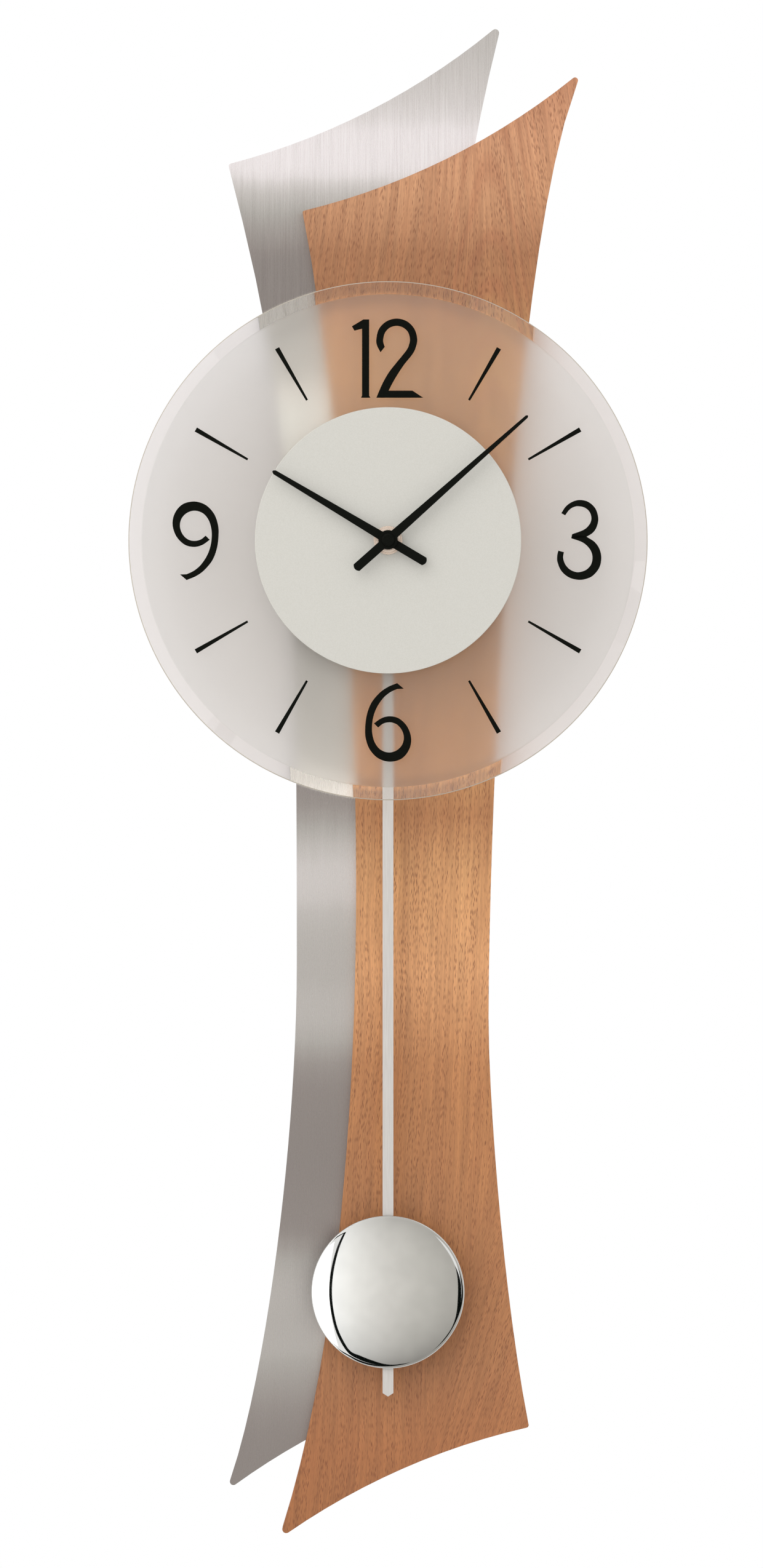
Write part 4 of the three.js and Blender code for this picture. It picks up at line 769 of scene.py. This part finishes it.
dialPrint = {
    "lift": 0.01,  # between the glass and the ink
    "ink": 0.05,
    "twelve": (-0.2, 84.2),
    "three": (88.3, 0.2),
    "six": (0.1, -84.1),
    "nine": (-88.9, -0.1),
    "barInner": 74.8,
    "barOuter": 102.5,
    "barInnerWidth": 1.0,
    "barOuterWidth": 2.2,
}


def strokeParts(name, place, halfTurn=False):
    # Each stroke is the strip between its two edges, smoothed through its points where it is curved.
    back = depthsOf("dial_glass")[1] + dialPrint["lift"]
    middle = np.array(axis) + np.array(place)
    parts = []
    for left, right, count in numeralStrokes[name]:
        edges = [smoothLine(edge, count) if count > 2 else np.array(edge, float) for edge in (left, right)]
        edges = [(-edge if halfTurn else edge) + middle for edge in edges]
        parts.append(strip(*edges, back, back + dialPrint["ink"]))
    return parts


def hourBar(hour):
    # A strip along the hour's direction, wider at its outer end.
    angle = math.radians(hour * 30)
    outward = np.array([math.sin(angle), math.cos(angle)])
    across = np.array([outward[1], -outward[0]])
    radii = np.array([dialPrint["barInner"], dialPrint["barOuter"]])[:, None]
    halves = np.array([dialPrint["barInnerWidth"], dialPrint["barOuterWidth"]])[:, None] / 2
    line = np.array(axis) + outward * radii
    back = depthsOf("dial_glass")[1] + dialPrint["lift"]
    return strip(line - across * halves, line + across * halves, back, back + dialPrint["ink"])


def makeDialPrint():
    # Screen-printed numerals and hour bars on the front of the glass.
    groups = {
        "numeral12": strokeParts("one", dialPrint["twelve"]) + strokeParts("two", dialPrint["twelve"]),
        "numeral3": strokeParts("three", dialPrint["three"]),
        "numeral6": strokeParts("nine", dialPrint["six"], halfTurn=True),
        "numeral9": strokeParts("nine", dialPrint["nine"]),
        "hourBars": [hourBar(hour) for hour in range(1, 12) if hour % 3],
    }
    # Screen ink on glass: flat, deep black with a faint gloss.
    ink = plainFinish("screenInk", "#0e100b", "#0b0d08", (1, 1, 1), 0.002, (0.5, 0.6),
                      Specular_IOR_Level=0.05)
    for name, parts in groups.items():
        obj = meshObject(name, "clock_frame", *joinMeshes(parts), [ink])


makeDialPrint()
print("numerals and hour bars made")

# Studio: lamps, cards that only reflections see, floor, wall, world and camera; metres where no note says mm
studio = {
    "keyPlace": (-1.15, -2.25, 1.5),
    "lampTarget": (0, 0, -0.25),
    "keySize": 3.4,
    "keyWatts": 43,
    "rimPlace": (1.4, 2.2, 0.8),
    "rimWatts": 45,
    "roomLight": 0.65,  # share of white that the room gives to matt surfaces
    "throughGlass": 0.84,  # and of the room as it shows through the glass
    "wallTint": "#f8f5f5",
    # painted shade on the wall behind the etched glass
    "wallShade": "#fafafa",
    "shadeInside": 9,  # mm inside the etched edge where that shade ends: the bevel looks inwards by as much
    "shadeSoft": 2,  # half the width of its soft edge in mm
    "wallHalf": 450,  # mm
    "mottle": 0.04,
    "mottleSize": (60, 60, 60),  # mm
    "floorTints": ("#e6e4e0", "#ecebe8"),
    "floorGrain": (40, 40, 40),  # mm
    "floorHeight": -1.0,
    "floorRadius": 2.6,
    "floorFade": (1.3, 2.5),  # from where to where the floor turns into the white of the room
    "sides": 96,
    "cameraPlace": (-0.00301, -3.0, -0.2475),
    "lens": 147.15,  # mm, as the next
    "sensorWidth": 36,
    "clipEnd": 50,
}


def aimedAt(obj, target):
    # Turns an object so that its own -z axis points at the target.
    direction = np.array(target) - np.array(obj.location)
    flat = math.hypot(direction[0], direction[1])
    obj.rotation_euler = (math.atan2(flat, -direction[2]), 0, math.atan2(-direction[0], direction[1]))


def areaLamp(name, place, size, watts):
    lamp = bpy.data.lights.new(name, "AREA")
    lamp.size = size
    lamp.energy = watts
    obj = bpy.data.objects.new(name, lamp)
    bpy.context.scene.collection.objects.link(obj)
    obj.location = place
    aimedAt(obj, studio["lampTarget"])
    obj.visible_camera = False
    obj.visible_glossy = False


def emission(name, **inputs):
    # A material that only shines.
    material = bpy.data.materials.new(name)
    material.use_nodes = True
    tree = material.node_tree
    tree.nodes.remove(tree.nodes["Principled BSDF"])
    shader = addNode(tree, "Emission", inputs)
    setInputs(tree, tree.nodes["Material Output"], {"Surface": shader})
    return material, tree, shader


def studioPiece(obj, seenByCamera=False):
    # Sets a piece of the room apart from the object; only reflections see it unless the camera does too.
    obj.visible_camera = seenByCamera
    obj.visible_diffuse = seenByCamera
    obj.visible_transmission = seenByCamera
    obj.visible_volume_scatter = seenByCamera
    obj.visible_shadow = seenByCamera


def ringPoints(radii):
    # Points on rings round the origin, across and along: radius x sin a and radius x cos a.
    angle = np.linspace(0, 2 * math.pi, studio["sides"], endpoint=False)
    rings = np.array(radii, float)[:, None]
    return rings * np.sin(angle), rings * np.cos(angle)


cardLook = {
    "depth": 3040,  # from the wall, in mm, as all lengths here whose note doesn't say otherwise
    "middle": (150, -900),
    # outline, x and z, and how far the dark frame stands out there as a share of the way from the middle
    "outline": [
        (-1760, 1834, 0.04), (-1990, 808, 0.06), (-2150, -656, 0.07), (-2080, -2010, 0.07),
        (-1920, -2777, 0.08), (-1662, -3449, 0.08), (-1215, -3648, 0.12), (-690, -3893, 0.11),
        (-95, -4153, 0.07), (522, -4189, 0.05), (1531, -4006, 0.04), (2150, -3480, 0.03), (2631, -2852, 0.08),
        (2909, -2350, 0.1), (3017, -1779, 0.1), (3005, -1168, 0.1), (2993, -476, 0.08), (2953, -19, 0.04),
        (2829, 438, 0.0), (2526, 945, 0.0), (1968, 1666, 0.0), (1392, 2230, 0.0), (1000, 3400, 0.0),
        (-100, 3900, 0.0), (-1100, 3700, 0.0), (-1480, 2700, 0.02),
    ],
    "outlinePoints": 240,
    # tones across it: x in metres and the colour that the chrome shows there
    "tones": [(-2.1, "#ffffff"), (-1.5, "#f7f6f4"), (-0.9, "#e8e6e3"), (0.0, "#d4d1cd"), (1.1, "#c2bfba"),
              (1.9, "#b8b5b0"), (3.0, "#afaca7")],
    "brightest": -0.3,  # height in metres
    "strength": 1.29,
    "fall": (0.0, 14.0),  # square metres above or below that height, over which the strength halves
    "frameColour": "#0c100e",
    "frameInner": 0.97,  # share of the way from the middle where the frame begins, behind the card
    "windowSides": (-6600, -2300),
    "windowHalf": 6600,  # half its height
    "windowStrength": 1.9,
    "surround": (6600, 15000),  # dark walls of the room on both sides
    "step": 10,  # from the card back to the frame and on to the window
}


def makeCard():
    # A tall sheet in a dark frame, bright at its left and grey at its right, and a bright window beyond it.
    # Points are middle + share x (outline - middle), for shares from 0 to 1 and on to the frame's own edge.
    look = cardLook
    outline = np.array([*look["outline"], look["outline"][0]])
    line = smoothLine(outline, look["outlinePoints"])[:-1]
    middle = np.array(look["middle"])
    ray = line[:, :2] - middle

    def sheet(name, inner, outer, depth, material):
        points = np.stack([middle + ray * share for share in np.linspace(inner, outer, 3)])
        flat = points.reshape(-1, 2)
        places = np.column_stack([flat[:, 0], np.full(len(flat), -depth), flat[:, 1]])
        studioPiece(meshObject(name, None, places, gridFaces(3, len(line)), [material]))

    one = np.ones((len(line), 1))
    card, tree, shader = emission("reflectorCard")
    place = addNode(tree, "SeparateXYZ", [addNode(tree, "TexCoord").outputs["Object"]]).outputs
    west, east = look["tones"][0][0], look["tones"][-1][0]
    across = addNode(tree, "MapRange", [place["X"], west, east, 0.0, 1.0])
    stops = [((x - west) / (east - west), colour) for x, colour in look["tones"]]
    away = addNode(tree, "Math", [place["Z"], -look["brightest"]])
    fall = addNode(tree, "Math", [away, away], operation="MULTIPLY")
    strength = addNode(tree, "MapRange", [fall, *look["fall"], look["strength"], look["strength"] / 2])
    tones = setStops(addNode(tree, "ValToRGB", [across]), stops)
    setInputs(tree, shader, {"Color": tones, "Strength": strength})
    sheet("reflectorCard", 0 * one, one, look["depth"], card)

    dark = emission("blackFrame", Color=linearOf(look["frameColour"]))[0]
    sheet("blackFrame", look["frameInner"] * one, 1 + line[:, 2:], look["depth"] + look["step"], dark)
    x, z = ringPoints(look["surround"])
    points = np.stack([x, np.full_like(x, -look["depth"]), z], 2).reshape(-1, 3)
    faces = gridFaces(len(x), studio["sides"])
    studioPiece(meshObject("darkWalls", None, points, faces, [dark]))

    bright = emission("sideWindow", Strength=look["windowStrength"])[0]
    (west, east), half = look["windowSides"], look["windowHalf"]
    x, z = np.array([west, east, east, west]), np.array([-half, -half, half, half])
    points = np.column_stack([x, np.full(4, -look["depth"] - 2 * look["step"]), z]).astype(float)
    studioPiece(meshObject("sideWindow", None, points, np.array([[0, 1, 2, 3]]), [bright]))


def makeFloor():
    # A round pale floor below the clock whose rim fades into the white room.
    material, tree, shader = newMaterial("paleFloor", Roughness=0.8)
    grain = noiseOf(tree, studio["floorGrain"], Detail=2.0)
    first, second = (linearOf(tint) for tint in studio["floorTints"])
    floorColour = addNode(tree, "Mix", {0: grain, 6: first, 7: second}, data_type="RGBA")
    setInputs(tree, shader, {"Base Color": floorColour})
    place = addNode(tree, "TexCoord").outputs["Object"]
    away = addNode(tree, "VectorMath", [place], operation="LENGTH")
    rim = addNode(tree, "MapRange", [away, *studio["floorFade"], 0.0, 1.0])
    white = addNode(tree, "Emission", {"Color": (1, 1, 1, 1), "Strength": 1.0})
    mixed = addNode(tree, "MixShader", [rim, shader, white])
    setInputs(tree, tree.nodes["Material Output"], {"Surface": mixed})
    radius = studio["floorRadius"] / mm
    y, x = ringPoints((0, radius / 2, radius))
    points = np.stack([x, y, np.full_like(x, studio["floorHeight"] / mm)], 2).reshape(-1, 3)
    faces = gridFaces(len(x), studio["sides"])
    floor = meshObject("paleFloor", None, points, faces, [material])
    studioPiece(floor, seenByCamera=True)
    floor.visible_glossy = False


def makeWall():
    # Matt paint on the wall that the clock hangs on. Only the glass shows it, and the clock shades it softly.
    material, tree, shader = newMaterial("wallPaint", Roughness=0.9, Specular_IOR_Level=0.1)
    mottle = noiseOf(tree, studio["mottleSize"], Detail=2.0)
    mottle = addNode(tree, "MapRange", [mottle, *noiseRange, 0.0, studio["mottle"]])
    tint = linearOf(studio["wallTint"])
    paint = addNode(tree, "Mix", {0: mottle, 6: tint, 7: (1, 1, 1, 1)}, data_type="RGBA")
    # Painted shade: the wall is darker where the etched part of the glass would keep some light from it.
    place = addNode(tree, "TexCoord").outputs["Object"]
    away = addNode(tree, "VectorMath", [place, (axis[0] * mm, -mm, axis[1] * mm)], operation="DISTANCE")
    reach = radiusOf("dial_glass") - glassShape["slope"] - studio["shadeInside"]
    soft = studio["shadeSoft"]
    under = addNode(tree, "MapRange", [away, (reach - soft) * mm, (reach + soft) * mm, 1.0, 0.0])
    shaded = {0: under, 6: paint, 7: linearOf(studio["wallShade"])}
    setInputs(tree, shader, {
        "Base Color": addNode(tree, "Mix", shaded, data_type="RGBA", blend_type="MULTIPLY")})
    half, middle = studio["wallHalf"], axis[1]
    x, z = np.array([-half, half, half, -half]), middle + np.array([-half, -half, half, half])
    points = np.column_stack([x, np.ones(4), z])
    wall = meshObject("wallBehind", None, points, np.array([[0, 1, 2, 3]]), [material])
    studioPiece(wall)
    wall.visible_glossy = False
    wall.visible_transmission = True


def makeWorld():
    # White where the camera or a mirror looks, and dimmer as light on matt surfaces and through the glass.
    world = bpy.data.worlds.new("studioRoom")
    bpy.context.scene.world = world
    world.use_nodes = True
    tree = world.node_tree
    path = addNode(tree, "LightPath").outputs
    seen = addNode(tree, "Math", [path["Is Camera Ray"], path["Is Glossy Ray"]], use_clamp=True)
    strength = addNode(tree, "MapRange", [seen, 0.0, 1.0, studio["roomLight"], 1.0])
    through = addNode(tree, "Mix", {0: path["Is Transmission Ray"], 2: strength, 3: studio["throughGlass"]})
    setInputs(tree, tree.nodes["Background"], {"Color": (1, 1, 1, 1), "Strength": through})


def makeCamera():
    camera = bpy.data.cameras.new("studioCamera")
    camera.lens = studio["lens"]
    camera.sensor_width = studio["sensorWidth"]
    camera.clip_end = studio["clipEnd"]
    obj = bpy.data.objects.new("studioCamera", camera)
    bpy.context.scene.collection.objects.link(obj)
    obj.location = studio["cameraPlace"]
    obj.rotation_euler = (math.pi / 2, 0, 0)
    bpy.context.scene.camera = obj


makeCard()
makeFloor()
makeWall()
makeWorld()
makeCamera()
areaLamp("keyLamp", studio["keyPlace"], studio["keySize"], studio["keyWatts"])
areaLamp("backLamp", studio["rimPlace"], studio["keySize"], studio["rimWatts"])
bpy.context.scene.view_settings.view_transform = "Standard"
print("studio made")
